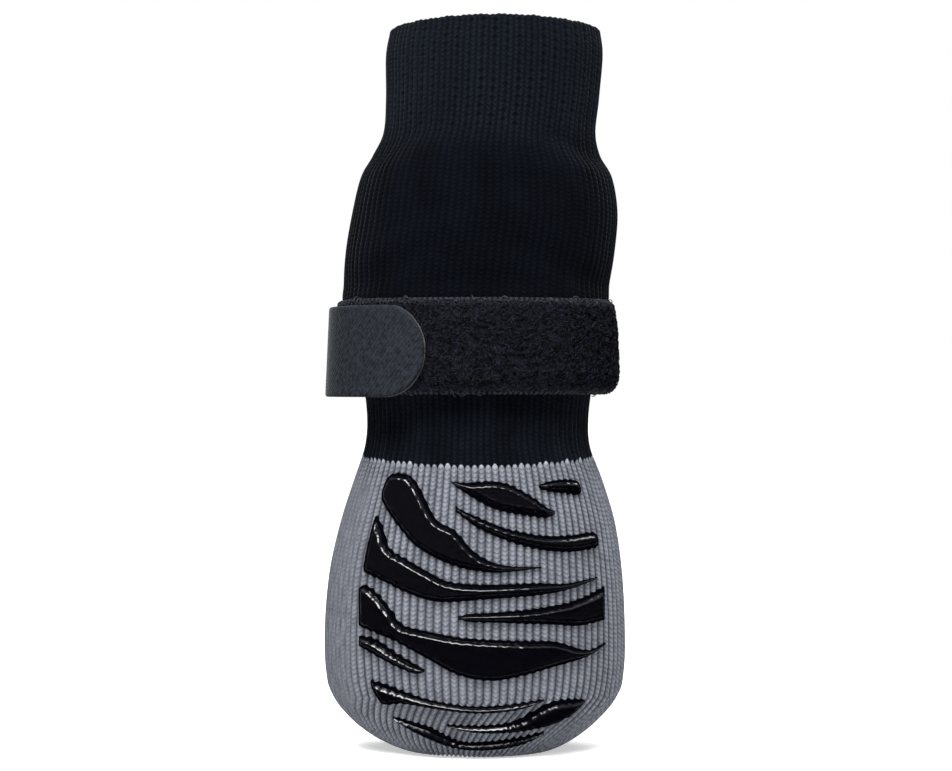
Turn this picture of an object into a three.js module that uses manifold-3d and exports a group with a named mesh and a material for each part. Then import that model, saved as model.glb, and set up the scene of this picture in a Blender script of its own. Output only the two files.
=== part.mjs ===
// A dog sock standing upright on its toe: one knitted tube with a rib cuff, a leg, a paw and a
// toe pocket, a hook-and-loop strap round the ankle, and raised silicone grips on the paw.
//
// Millimetres, +Z up. The origin is on the floor, in the middle of the flat of the sole.
// The front, with the grips and the strap's tab, faces -Y, and +X is on the viewer's right.
import * as THREE from "three";
import { mergeVertices } from "three/addons/utils/BufferGeometryUtils.js";
import Module from "manifold-3d";

const wasm = await Module();
wasm.setup();

// Driving dimensions
const SOCK_HEIGHT = 153;
const PAW_WIDTH = 64;
const PAW_DEPTH = 41;
const KNIT_WALL = 1.8;
const CUFF_WALL = 2.4;
const RIM_ROUND = 1.1;
const GRIP_THICKNESS = 0.9;
const GAP = 0.3;

// Strap: loop tape with a pile, and a hook tab over its ends
const TAPE_WIDTH = 20;
const TAPE_THICKNESS = 0.8;
const PILE_HEIGHT = 0.9;
const PILE_SHOULDER = 1;
const SELVEDGE = 1.4;
const STRAP_HEIGHT = 85;
const STRAP_SLIT = 3;
const TAB_WIDTH = 19;
const TAB_THICKNESS = 1.2;
const TAB_HEIGHT = 84;
const TAB_TIP = -9.8;
const TAB_NOSE = 8.2;
const TAB_ROOT = -15;

// Facets
const SEGMENTS = 48;
const ROWS_PER_SECTION = 1.3;
const RIM_STEPS = 4;
const GRIP_CURVE_STEPS = 2;
const CUTTER = 45;
const TINY = 1e-3;

// Cross-sections of the sock from the rim down to the toe seam. up is a share of the height, left and
// right of half the paw's width, front and back of half its depth. The last two rows are the flat of
// the sole and the seam that closes it.
const SECTIONS = [
  { up: 0.998, left: 0.575, right: 0.83, front: 0.76, back: 0.76 },
  { up: 0.965, left: 0.6, right: 0.845, front: 0.795, back: 0.795 },
  { up: 0.9, left: 0.6, right: 0.82, front: 0.805, back: 0.805 },
  { up: 0.854, left: 0.617, right: 0.797, front: 0.8, back: 0.8 },
  { up: 0.823, left: 0.692, right: 0.83, front: 0.84, back: 0.84 },
  { up: 0.793, left: 0.765, right: 0.905, front: 0.905, back: 0.9 },
  { up: 0.743, left: 0.823, right: 0.943, front: 0.945, back: 0.94 },
  { up: 0.686, left: 0.868, right: 0.922, front: 0.95, back: 0.94 },
  { up: 0.626, left: 0.878, right: 0.875, front: 0.93, back: 0.92 },
  { up: 0.562, left: 0.825, right: 0.828, front: 0.88, back: 0.87 },
  { up: 0.503, left: 0.75, right: 0.775, front: 0.83, back: 0.82 },
  { up: 0.458, left: 0.725, right: 0.75, front: 0.81, back: 0.8 },
  { up: 0.418, left: 0.74, right: 0.76, front: 0.825, back: 0.81 },
  { up: 0.373, left: 0.81, right: 0.84, front: 0.885, back: 0.86 },
  { up: 0.314, left: 0.9, right: 0.925, front: 0.945, back: 0.91 },
  { up: 0.248, left: 0.972, right: 0.972, front: 0.99, back: 0.95 },
  { up: 0.176, left: 1.005, right: 0.992, front: 1.01, back: 0.97 },
  { up: 0.111, left: 1.0, right: 0.988, front: 1.0, back: 0.955 },
  { up: 0.072, left: 0.95, right: 0.94, front: 0.955, back: 0.915 },
  { up: 0.04, left: 0.825, right: 0.815, front: 0.875, back: 0.83 },
  { up: 0.015, left: 0.66, right: 0.665, front: 0.78, back: 0.73 },
  { up: 0.0, left: 0.48, right: 0.51, front: 0.67, back: 0.62 },
  { up: 0.0, left: 0.37, right: 0.4, front: 0.0, back: 0.0 },
];
const CUFF_END_ROW = 3;
const STRAP_ROW = 8;
const ANKLE_ROW = 11;
const SOLE_ROW = SECTIONS.length - 2;
const SEAM_ROW = SECTIONS.length - 1;

// Grip stripes as seen from the front: each row is a station across the paw, with the heights of the
// stripe's lower and upper edge there.
const GRIPS = {
  grip_01: [
    { across: -19.5, low: 53.1, high: 54.9 },
    { across: -17.7, low: 50.2, high: 58.4 },
    { across: -14, low: 45.6, high: 58.5 },
    { across: -11.7, low: 43.6, high: 56 },
    { across: -8.2, low: 41.6, high: 49.6 },
    { across: -4.2, low: 40, high: 47.2 },
    { across: -0.2, low: 39.1, high: 42.9 },
    { across: 5.2, low: 38.7, high: 40.3 },
    { across: 13.4, low: 39.5, high: 39.8 },
  ],
  grip_02: [
    { across: -23.2, low: 38.4, high: 39.6 },
    { across: -22, low: 37.8, high: 45.6 },
    { across: -20.7, low: 37.3, high: 49.8 },
    { across: -19.3, low: 36.7, high: 47.6 },
    { across: -17.8, low: 36.1, high: 43.5 },
    { across: -14.8, low: 34.7, high: 41.6 },
    { across: -9.9, low: 33.1, high: 38.9 },
    { across: -5.4, low: 32.7, high: 36.9 },
    { across: 2, low: 33.3, high: 36.3 },
    { across: 11.8, low: 33.9, high: 36.5 },
    { across: 18.5, low: 34.8, high: 36.2 },
    { across: 25.2, low: 36.8, high: 37.2 },
  ],
  grip_03: [
    { across: -3.7, low: 29.3, high: 29.8 },
    { across: -1, low: 28.7, high: 30.4 },
    { across: 5, low: 28.5, high: 30.7 },
    { across: 15.4, low: 27.9, high: 31.7 },
    { across: 21.2, low: 27.4, high: 32.9 },
    { across: 26.7, low: 28.2, high: 35.1 },
  ],
  grip_04: [
    { across: -24.2, low: 27.2, high: 35 },
    { across: -22.8, low: 26.7, high: 35.7 },
    { across: -20.2, low: 25.8, high: 34 },
    { across: -17.1, low: 24.7, high: 30.4 },
    { across: -15, low: 23.7, high: 27.9 },
    { across: -9.9, low: 21.1, high: 26.7 },
    { across: -3.7, low: 17.9, high: 25.6 },
    { across: 2.9, low: 16.7, high: 25.1 },
    { across: 9.6, low: 17.6, high: 24.8 },
    { across: 16.3, low: 19.3, high: 24.4 },
    { across: 22.9, low: 20.9, high: 22.3 },
    { across: 26.9, low: 23.1, high: 23.5 },
  ],
  grip_05: [
    { across: -24.2, low: 23.1, high: 25.3 },
    { across: -20.6, low: 21.3, high: 24.7 },
    { across: -16.2, low: 19.2, high: 22 },
    { across: -12.6, low: 18, high: 20 },
    { across: -10.6, low: 18.4, high: 18.9 },
  ],
  grip_06: [
    { across: -5.1, low: 56.9, high: 57.2 },
    { across: -1.9, low: 54.7, high: 57 },
    { across: 2.9, low: 52, high: 57.3 },
    { across: 6.9, low: 50.8, high: 56.6 },
    { across: 11.8, low: 50, high: 53.9 },
    { across: 14.5, low: 49.7, high: 51.9 },
    { across: 16.3, low: 50.5, high: 50.9 },
  ],
  grip_07: [
    { across: 12.9, low: 55.9, high: 56.3 },
    { across: 14.9, low: 55.1, high: 57.1 },
    { across: 18.5, low: 54.6, high: 57.5 },
    { across: 20.9, low: 54.2, high: 57.1 },
    { across: 21.8, low: 54.7, high: 55.6 },
  ],
  grip_08: [
    { across: -4.2, low: 51.1, high: 52.3 },
    { across: -2.4, low: 49.8, high: 51.2 },
    { across: 0.7, low: 47.6, high: 49.9 },
    { across: 5.2, low: 45.6, high: 48 },
    { across: 9.6, low: 44.1, high: 46.9 },
    { across: 14, low: 43.1, high: 46.1 },
    { across: 19.4, low: 42.6, high: 46 },
    { across: 24.3, low: 43.1, high: 46.4 },
    { across: 25.4, low: 43.7, high: 44.8 },
  ],
  grip_09: [
    { across: -21.7, low: 15.4, high: 16.2 },
    { across: -19.4, low: 11.4, high: 15.7 },
    { across: -15.3, low: 11.6, high: 14.4 },
    { across: -10.8, low: 11.1, high: 12.9 },
    { across: -5.9, low: 10.4, high: 11.9 },
    { across: 0, low: 9.9, high: 11.3 },
    { across: 5.2, low: 10.1, high: 11.5 },
    { across: 9.6, low: 10.8, high: 12 },
    { across: 14, low: 12.2, high: 12.6 },
  ],
  grip_10: [
    { across: -5.9, low: 7, high: 7.4 },
    { across: -1, low: 5.9, high: 7.2 },
    { across: 4.3, low: 5.6, high: 7.4 },
    { across: 8.7, low: 5.8, high: 8.4 },
    { across: 12.3, low: 6.3, high: 10.4 },
    { across: 15.8, low: 7.1, high: 11.9 },
    { across: 19.4, low: 8.7, high: 12.3 },
    { across: 22.5, low: 11.4, high: 11.9 },
  ],
  grip_11: [
    { across: -17.1, low: 8.2, high: 8.6 },
    { across: -13.5, low: 6, high: 7.8 },
    { across: -9.5, low: 4.1, high: 6.7 },
    { across: -6.4, low: 2.9, high: 5.1 },
    { across: -2.8, low: 2, high: 3.6 },
    { across: 1.6, low: 1.8, high: 3.6 },
    { across: 6, low: 2.2, high: 4 },
    { across: 10, low: 3.1, high: 4.6 },
    { across: 14, low: 5, high: 5.5 },
  ],
};

const finish = (color, roughness) => new THREE.MeshStandardMaterial({ color, roughness, metalness: 0 });

// One column of the section table at a row that need not be whole, by a Catmull-Rom spline.
function column(name, row) {
  const at = (i) => SECTIONS[THREE.MathUtils.clamp(i, 0, SEAM_ROW)][name];
  const i = Math.min(Math.floor(row), SEAM_ROW - 1);
  const t = row - i;
  const [before, from, to, after] = [at(i - 1), at(i), at(i + 1), at(i + 2)];
  const slopeFrom = (to - before) / 2;
  const slopeTo = (after - from) / 2;
  const bend = 2 * (from - to) + slopeFrom + slopeTo;
  return from + t * (slopeFrom + t * (to - from - slopeFrom - bend + t * bend));
}

// A point of the sock's outside. turn goes once round from the right side by way of the back.
function outside(turn, row) {
  const angle = turn * 2 * Math.PI;
  const left = (-column("left", row) * PAW_WIDTH) / 2;
  const right = (column("right", row) * PAW_WIDTH) / 2;
  const reach = (column(Math.sin(angle) < 0 ? "front" : "back", row) * PAW_DEPTH) / 2;
  return new THREE.Vector3(
    (left + right) / 2 + ((right - left) / 2) * Math.cos(angle),
    reach * Math.sin(angle),
    row > SOLE_ROW ? 0 : column("up", row) * SOCK_HEIGHT,
  );
}

// The same point moved out along the surface's normal, or in where the offset is negative.
function skin(turn, row, offset) {
  const normal = new THREE.Vector3(0, 0, -1);
  if (row < SOLE_ROW) {
    const around = outside(turn + TINY, row).sub(outside(turn - TINY, row));
    const down = outside(turn, row + TINY).sub(outside(turn, Math.max(row - TINY, 0)));
    normal.crossVectors(down, around).normalize();
  }
  return outside(turn, row).addScaledVector(normal, offset);
}

// A point beside the sock's outline under the strap, moved straight out by some distance.
function besideStrap(turn, out, height) {
  const along = outside(turn + TINY, STRAP_ROW).sub(outside(turn - TINY, STRAP_ROW));
  const normal = new THREE.Vector3(along.y, -along.x, 0).normalize();
  return outside(turn, STRAP_ROW).addScaledVector(normal, out).setZ(height);
}

function welded(geometry) {
  geometry.deleteAttribute("normal");
  geometry.deleteAttribute("uv");
  return mergeVertices(geometry, TINY);
}

// A closed geometry from a grid of turns and steps, where place(turn, step) gives each point.
function wrapped(steps, place) {
  const stack = Array.from({ length: steps }, (_, i) => new THREE.Vector2(1, i));
  const grid = new THREE.LatheGeometry(stack, SEGMENTS);
  const { position, uv } = grid.attributes;
  for (let i = 0; i < position.count; i++) {
    const point = place(uv.getX(i) % 1, Math.round(uv.getY(i) * (steps - 1)));
    position.setXYZ(i, point.x, point.y, point.z);
  }
  return withoutSlivers(welded(grid));
}

// The same geometry without the triangles that lost their area where points were welded.
function withoutSlivers(geometry) {
  const corners = Array.from(geometry.index.array);
  const kept = [];
  for (let i = 0; i < corners.length; i += 3) {
    const triangle = corners.slice(i, i + 3);
    if (new Set(triangle).size === 3) kept.push(...triangle);
  }
  return geometry.setIndex(kept);
}

function solid(geometry) {
  const vertProperties = geometry.attributes.position.array;
  const triVerts = new Uint32Array(geometry.index.array);
  return new wasm.Manifold(new wasm.Mesh({ numProp: 3, vertProperties, triVerts }));
}

function geometryOf(manifold) {
  const { vertProperties, triVerts } = manifold.getMesh();
  const geometry = new THREE.BufferGeometry();
  geometry.setAttribute("position", new THREE.BufferAttribute(vertProperties, 3));
  return geometry.setIndex(new THREE.BufferAttribute(triVerts, 1));
}

// A solid that stands on an outline in the front view and reaches forward from the middle of the sock.
function frontPrism(shape, curveSegments) {
  const prism = new THREE.ExtrudeGeometry(shape, { depth: CUTTER, bevelEnabled: false, curveSegments });
  return solid(welded(prism.rotateX(Math.PI / 2)));
}

function box(from, to) {
  const size = to.clone().sub(from);
  const middle = from.clone().add(to).divideScalar(2);
  const geometry = new THREE.BoxGeometry(size.x, size.y, size.z).translate(middle.x, middle.y, middle.z);
  return solid(welded(geometry));
}

// Rows of the section table spread evenly from one row down to another, both included.
function rowsBetween(from, to) {
  const count = Math.round((to - from) * ROWS_PER_SECTION);
  return Array.from({ length: count + 1 }, (_, i) => from + ((to - from) * i) / count);
}

function wallAt(row) {
  const share = THREE.MathUtils.clamp(row - CUFF_END_ROW, 0, 1);
  return THREE.MathUtils.lerp(CUFF_WALL, KNIT_WALL, share);
}

// The knitted tube: up the outside from the toe seam, over the round rim and down the inside.
function sockKnit() {
  const down = [...rowsBetween(0, SOLE_ROW), SEAM_ROW];
  const outer = down.map((row) => ({ row, offset: 0, lift: 0 })).reverse();
  const rim = Array.from({ length: RIM_STEPS - 1 }, (_, i) => {
    const angle = (Math.PI * (i + 1)) / RIM_STEPS;
    const offset = (-CUFF_WALL * (1 - Math.cos(angle))) / 2;
    return { row: 0, offset, lift: RIM_ROUND * Math.sin(angle) };
  });
  const inner = down.map((row) => ({ row, offset: -wallAt(row), lift: 0 }));
  const profile = [...outer, ...rim, ...inner];
  return wrapped(profile.length, (turn, step) => {
    const { row, offset, lift } = profile[step];
    const point = skin(turn, row, offset);
    return point.setZ(point.z + lift);
  });
}

// A ring round the ankle whose cross-section is a closed profile of steps out from the sock and up.
function strapRing(profile, height) {
  const closed = [...profile, profile[0]];
  return wrapped(closed.length, (turn, step) => besideStrap(turn, closed[step].out, height + closed[step].up));
}

// Loop tape with flat selvedges and a raised pile, slit on the left where its two ends meet.
function strapBand() {
  const half = TAPE_WIDTH / 2;
  const tape = GAP + TAPE_THICKNESS;
  const pile = tape + PILE_HEIGHT;
  const ring = strapRing([
    { out: GAP, up: -half },
    { out: tape, up: -half },
    { out: tape, up: SELVEDGE - half },
    { out: pile, up: SELVEDGE + PILE_SHOULDER - half },
    { out: pile, up: half - SELVEDGE - PILE_SHOULDER },
    { out: tape, up: half - SELVEDGE },
    { out: tape, up: half },
    { out: GAP, up: half },
  ], STRAP_HEIGHT);
  const slit = box(
    new THREE.Vector3(-CUTTER, 0, 0),
    new THREE.Vector3(0, STRAP_SLIT, SOCK_HEIGHT),
  );
  return geometryOf(solid(ring).subtract(slit));
}

// Hook tab over the band's two ends: a round nose on the front, round the left side to its root behind.
function strapTab() {
  const half = TAB_WIDTH / 2;
  const inner = GAP + TAPE_THICKNESS + PILE_HEIGHT + GAP;
  const outer = inner + TAB_THICKNESS;
  const ring = strapRing([
    { out: inner, up: -half },
    { out: outer, up: -half },
    { out: outer, up: half },
    { out: inner, up: half },
  ], TAB_HEIGHT);
  const nose = new THREE.Shape()
    .moveTo(-CUTTER, TAB_HEIGHT - half)
    .lineTo(TAB_TIP - TAB_NOSE, TAB_HEIGHT - half)
    .absellipse(TAB_TIP - TAB_NOSE, TAB_HEIGHT, TAB_NOSE, half, -Math.PI / 2, Math.PI / 2)
    .lineTo(-CUTTER, TAB_HEIGHT + half);
  const root = box(
    new THREE.Vector3(-CUTTER, -TINY, TAB_HEIGHT - half),
    new THREE.Vector3(TAB_ROOT, CUTTER, TAB_HEIGHT + half),
  );
  return geometryOf(solid(ring).intersect(frontPrism(nose, RIM_STEPS * 2).add(root)));
}

// A closed form that follows the paw at some distance from the knit, up to the ankle.
function pawForm(offset) {
  const rows = [...rowsBetween(ANKLE_ROW, SOLE_ROW), SEAM_ROW].reverse();
  const top = outside(0, ANKLE_ROW).setX(0).setY(0);
  return solid(wrapped(rows.length + 1, (turn, step) => (step < rows.length ? skin(turn, rows[step], offset) : top)));
}

// One grip stripe: its outline in the front view, cut from the layer that lies on the paw.
function gripStripe(layer, stations) {
  const upper = stations.map(({ across, high }) => new THREE.Vector2(across, high));
  const lower = stations.map(({ across, low }) => new THREE.Vector2(across, low)).reverse();
  const outline = new THREE.Shape()
    .moveTo(upper[0].x, upper[0].y)
    .splineThru(upper.slice(1))
    .lineTo(lower[0].x, lower[0].y)
    .splineThru(lower.slice(1));
  return geometryOf(layer.intersect(frontPrism(outline, GRIP_CURVE_STEPS)));
}

const sock = new THREE.Group();

function addPiece(name, geometry, material) {
  geometry.computeVertexNormals();
  const mesh = new THREE.Mesh(geometry, material);
  mesh.name = name;
  sock.add(mesh);
}

addPiece("sock_knit", sockKnit(), finish(0x74777f, 0.9));
addPiece("strap_band", strapBand(), finish(0x17181c, 0.95));
addPiece("strap_tab", strapTab(), finish(0x30343b, 0.8));
const gripLayer = pawForm(GAP + GRIP_THICKNESS).subtract(pawForm(GAP));
for (const [name, stations] of Object.entries(GRIPS)) {
  addPiece(name, gripStripe(gripLayer, stations), finish(0x0b0b0d, 0.18));
}

export default sock;
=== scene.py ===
import math
from collections import namedtuple
from functools import partial

import bmesh
import bpy
import numpy as np
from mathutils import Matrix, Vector


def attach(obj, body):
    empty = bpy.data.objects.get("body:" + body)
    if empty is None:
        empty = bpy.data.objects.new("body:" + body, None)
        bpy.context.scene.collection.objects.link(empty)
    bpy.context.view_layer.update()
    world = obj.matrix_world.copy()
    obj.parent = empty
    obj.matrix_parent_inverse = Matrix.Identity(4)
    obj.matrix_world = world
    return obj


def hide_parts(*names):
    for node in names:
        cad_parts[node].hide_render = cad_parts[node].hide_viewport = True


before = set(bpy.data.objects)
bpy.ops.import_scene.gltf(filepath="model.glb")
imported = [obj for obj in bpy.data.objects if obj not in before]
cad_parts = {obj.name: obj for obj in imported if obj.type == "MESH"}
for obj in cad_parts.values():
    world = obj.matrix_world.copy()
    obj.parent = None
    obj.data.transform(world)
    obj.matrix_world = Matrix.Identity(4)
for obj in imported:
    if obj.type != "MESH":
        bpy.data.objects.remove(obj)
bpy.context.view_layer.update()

bl_info = {
    "name": "Dog sock",
    "version": (1, 0, 0),
    "blender": (4, 5, 0),
    "location": "3D View > Sidebar > Dog sock",
    "description": "Makes a ribbed dog sock with a hook-and-loop strap and silicone grips",
    "category": "Object",
}

MM = 0.001
DOWN = np.array((0.0, 0.0, -1.0))

# A small step along an angle or a row, for slopes, and the least that a length is divided by.
STEP = 1e-3
NEARLY_ZERO = 1e-12

# Vertices closer than the first are one vertex, and edges shorter than the second are none.
WELD_DISTANCE = 1e-4 * MM
FLAT_DISTANCE = 1e-5 * MM

# How finely a section's girth, the way up the front and the tab's path are measured, and how many girths a
# row of the section table has.
GIRTH_STEPS = 721
LENGTH_STEPS = 801
TAB_STEPS = 600
ROW_PARTS = 8

# Cross-sections of the sock from the rim down to the toe seam. up is a share of the height, left and right
# are shares of half the paw's width, front and back of half its depth. The last two rows are the edge of
# the flat sole and its seam.
Section = namedtuple("Section", "up left right front back")
SECTIONS = (
    Section(0.998, 0.575, 0.83, 0.76, 0.76),
    Section(0.965, 0.6, 0.845, 0.795, 0.795),
    Section(0.9, 0.6, 0.82, 0.805, 0.805),
    Section(0.854, 0.617, 0.797, 0.8, 0.8),
    Section(0.823, 0.692, 0.83, 0.84, 0.84),
    Section(0.793, 0.765, 0.905, 0.905, 0.9),
    Section(0.743, 0.823, 0.943, 0.945, 0.94),
    Section(0.686, 0.868, 0.922, 0.95, 0.94),
    Section(0.626, 0.878, 0.875, 0.93, 0.92),
    Section(0.562, 0.825, 0.828, 0.88, 0.87),
    Section(0.503, 0.75, 0.775, 0.83, 0.82),
    Section(0.458, 0.725, 0.75, 0.81, 0.8),
    Section(0.418, 0.74, 0.76, 0.825, 0.81),
    Section(0.373, 0.81, 0.84, 0.885, 0.86),
    Section(0.314, 0.9, 0.925, 0.945, 0.91),
    Section(0.248, 0.972, 0.972, 0.99, 0.95),
    Section(0.176, 1.005, 0.992, 1.01, 0.97),
    Section(0.111, 1.0, 0.988, 1.0, 0.955),
    Section(0.072, 0.95, 0.94, 0.955, 0.915),
    Section(0.04, 0.825, 0.815, 0.875, 0.83),
    Section(0.015, 0.66, 0.665, 0.78, 0.73),
    Section(0.0, 0.48, 0.51, 0.67, 0.62),
    Section(0.0, 0.37, 0.4, 0.0, 0.0),
)
CUFF_END_ROW = 3
STRAP_ROW = 8
ANKLE_ROW = 11
SOLE_ROW = len(SECTIONS) - 2
SEAM_ROW = len(SECTIONS) - 1

# How deep the grooves between the wales are at some heights, in millimetres, and how much lower each second
# wale is, as a share.
Rib = namedtuple("Rib", "height depth uneven")
RIBS = (
    Rib(0, 0.5, 0.06),
    Rib(56, 0.52, 0.06),
    Rib(62, 0.34, 0.3),
    Rib(76, 0.3, 0.35),
    Rib(96, 0.24, 0.2),
    Rib(122, 0.24, 0.2),
    Rib(130, 0.34, 0.45),
    Rib(152, 0.3, 0.4),
)

# The left side of the paw is stretched smooth: the wales over which that comes and goes, the heights over
# which it fades out, and how much of the grooves it closes.
STRETCH_START = (13, 19)
STRETCH_END = (30.5, 34)
STRETCH_TOP = (54 * MM, 60 * MM)
STRETCH_SHARE = 0.7

# Soft folds of the knit, in millimetres, as seen from the front or the back: a trough has a positive depth
# and a ridge a negative one. slope is the angle of the fold's line in degrees.
Fold = namedtuple("Fold", "side across up slope length width depth")
FRONT, BACK = -1, 1
FOLDS = (
    Fold(FRONT, -17, 127.5, 24, 9, 2.6, 0.7),
    Fold(FRONT, 22, 126.5, -20, 8, 2.4, 0.8),
    Fold(FRONT, 5, 119, -10, 15, 3.6, 0.45),
    Fold(FRONT, -13, 112, 14, 12, 3.4, 0.4),
    Fold(FRONT, -18, 101, 28, 11, 3, 0.6),
    Fold(FRONT, 17, 102, -26, 12, 3, 0.6),
    Fold(FRONT, 1, 98.5, -4, 10, 2.4, 0.4),
    Fold(FRONT, -15, 70, 82, 7, 2, 0.35),
    Fold(FRONT, -3, 69, 95, 6, 2, 0.3),
    Fold(FRONT, 9, 70, 88, 7, 2.2, 0.35),
    Fold(FRONT, 18, 69, 98, 7, 2, 0.4),
    Fold(FRONT, -24.5, 31, 88, 19, 1.8, -0.5),
    Fold(FRONT, -25.5, 10.2, -33, 7, 0.9, -0.35),
    Fold(FRONT, 25.5, 10.2, 33, 7, 0.9, -0.35),
    Fold(BACK, 0, 118, 8, 16, 3.6, 0.5),
    Fold(BACK, 14, 103, -24, 12, 3, 0.6),
    Fold(BACK, -12, 101, 20, 12, 3, 0.6),
    Fold(BACK, -10, 70, 88, 7, 2, 0.4),
    Fold(BACK, 3, 69, 94, 7, 2, 0.35),
    Fold(BACK, 15, 70, 86, 7, 2, 0.4),
    Fold(BACK, -8, 46, 40, 14, 4, 0.4),
    Fold(BACK, 12, 42, -36, 14, 4, 0.4),
)

# A fold comes in between these distances from the plane through the sock's two sides, on the fold's own
# side.
FOLD_FADE = (-2 * MM, 4 * MM)

# The knit swells out against the upper edge of the strap.
SWELL_HEIGHT = 95.2 * MM
SWELL_WIDTH = 2.2 * MM
SWELL_DEPTH = 0.45 * MM

# The cuff's rim sinks a little towards its two sides: how far, and over what height.
RIM_DIP = 1.1 * MM
RIM_DIP_RUN = 14 * MM

# Shares of the rim's round by which the wales bead it and by which it wanders, and how fast it does for
# each wale.
RIM_BEAD = 0.07
RIM_WANDER = 0.1
RIM_WANDER_RATES = (0.43, 1.7)

# Heights over which the black knit changes to the cuff's stitch, going up, and to the ankle's painted light,
# which lifts the strap's shadow, going down.
CUFF_FADE = (124 * MM, 133 * MM)
ANKLE_LIGHT_FADE = (80 * MM, 75 * MM)

# Height of the strap's middle, and how much further out it lies for each millimetre further down.
STRAP_MIDDLE = 85 * MM
STRAP_FLARE = 0.045

# Half of the loop tape's cross-section, from the middle of its back over its upper edge to near the middle
# of its face: out is the distance from the sock and up the height above the tape's middle, in millimetres.
TapePoint = namedtuple("TapePoint", "out up")
TAPE_PROFILE = (
    TapePoint(0.3, 0),
    TapePoint(0.3, 5),
    TapePoint(0.3, 9.4),
    TapePoint(0.4, 9.85),
    TapePoint(0.64, 10),
    TapePoint(0.86, 9.93),
    TapePoint(1, 9.75),
    TapePoint(1.12, 9.45),
    TapePoint(1.25, 9),
    TapePoint(1.4, 8.4),
    TapePoint(1.56, 7.6),
    TapePoint(1.71, 6.6),
    TapePoint(1.83, 5.2),
    TapePoint(1.9, 3.3),
    TapePoint(1.92, 1.6),
)

# The pile's face starts at this row of the profile.
PILE_START = 5

# Distances above and below the tape's middle over which its woven edge begins, and over which the pile turns
# paler.
SELVEDGE = (9.2 * MM, 9.6 * MM)
PALE_PILE_EDGE = (8.2 * MM, 9.9 * MM)

# The lower edge of the tape curls in where the ankle leaves it, along an arc that starts below the tape's
# middle.
CURL_START = 6.6 * MM
CURL_RADIUS = 3.9 * MM

# Grip stripes as seen from the front, in millimetres: each has stations across the paw, and each station is
# how far across it lies and the heights of the stripe's lower and upper edge there.
GRIPS = {
    "grip_01": (
        (-19.5, 53.1, 54.9), (-17.7, 50.2, 58.4), (-14, 45.6, 58.5), (-11.7, 43.6, 56),
        (-8.2, 41.6, 49.6), (-4.2, 40, 47.2), (-0.2, 39.1, 42.9), (5.2, 38.7, 40.3),
        (13.4, 39.5, 39.8),
    ),
    "grip_02": (
        (-23.2, 38.4, 39.6), (-22, 37.8, 45.6), (-20.7, 37.3, 49.8), (-19.3, 36.7, 47.6),
        (-17.8, 36.1, 43.5), (-14.8, 34.7, 41.6), (-9.9, 33.1, 38.9), (-5.4, 32.7, 36.9),
        (2, 33.3, 36.3), (11.8, 33.9, 36.5), (18.5, 34.8, 36.2), (25.2, 36.8, 37.2),
    ),
    "grip_03": (
        (-3.7, 29.3, 29.8), (-1, 28.7, 30.4), (5, 28.5, 30.7), (15.4, 27.9, 31.7),
        (21.2, 27.4, 32.9), (26.7, 28.2, 35.1),
    ),
    "grip_04": (
        (-24.2, 27.2, 35), (-22.8, 26.7, 35.7), (-20.2, 25.8, 34), (-17.1, 24.7, 30.4),
        (-15, 23.7, 27.9), (-9.9, 21.1, 26.7), (-3.7, 17.9, 25.6), (2.9, 16.7, 25.1),
        (9.6, 17.6, 24.8), (16.3, 19.3, 24.4), (22.9, 20.9, 22.3), (26.9, 23.1, 23.5),
    ),
    "grip_05": (
        (-24.2, 23.1, 25.3), (-20.6, 21.3, 24.7), (-16.2, 19.2, 22), (-12.6, 18, 20),
        (-10.6, 18.4, 18.9),
    ),
    "grip_06": (
        (-5.1, 56.9, 57.2), (-1.9, 54.7, 57), (2.9, 52, 57.3), (6.9, 50.8, 56.6),
        (11.8, 50, 53.9), (14.5, 49.7, 51.9), (16.3, 50.5, 50.9),
    ),
    "grip_07": (
        (12.9, 55.9, 56.3), (14.9, 55.1, 57.1), (18.5, 54.6, 57.5), (20.9, 54.2, 57.1),
        (21.8, 54.7, 55.6),
    ),
    "grip_08": (
        (-4.2, 51.1, 52.3), (-2.4, 49.8, 51.2), (0.7, 47.6, 49.9), (5.2, 45.6, 48),
        (9.6, 44.1, 46.9), (14, 43.1, 46.1), (19.4, 42.6, 46), (24.3, 43.1, 46.4),
        (25.4, 43.7, 44.8),
    ),
    "grip_09": (
        (-21.7, 15.4, 16.2), (-19.4, 11.4, 15.7), (-15.3, 11.6, 14.4), (-10.8, 11.1, 12.9),
        (-5.9, 10.4, 11.9), (0, 9.9, 11.3), (5.2, 10.1, 11.5), (9.6, 10.8, 12),
        (14, 12.2, 12.6),
    ),
    "grip_10": (
        (-5.9, 7, 7.4), (-1, 5.9, 7.2), (4.3, 5.6, 7.4), (8.7, 5.8, 8.4),
        (12.3, 6.3, 10.4), (15.8, 7.1, 11.9), (19.4, 8.7, 12.3), (22.5, 11.4, 11.9),
    ),
    "grip_11": (
        (-17.1, 8.2, 8.6), (-13.5, 6, 7.8), (-9.5, 4.1, 6.7), (-6.4, 2.9, 5.1),
        (-2.8, 2, 3.6), (1.6, 1.8, 3.6), (6, 2.2, 4), (10, 3.1, 4.6),
        (14, 5, 5.5),
    ),
}


def linear(colour):
    """An sRGB hex colour as linear red, green and blue."""
    shares = [int(colour[i:i + 2], 16) / 255 for i in (0, 2, 4)]
    return tuple(c / 12.92 if c <= 0.04045 else ((c + 0.055) / 1.055) ** 2.4 for c in shares)


def length_prop(name, description, millimetres):
    """A setting for a length, kept in metres."""
    return bpy.props.FloatProperty(
        name=name, description=description, default=millimetres * MM, unit="LENGTH", precision=5)


def colour_prop(name, description, colour):
    """A setting for a colour, kept linear."""
    return bpy.props.FloatVectorProperty(
        name=name, description=description, default=linear(colour), size=3, subtype="COLOR", min=0, max=1)


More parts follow.
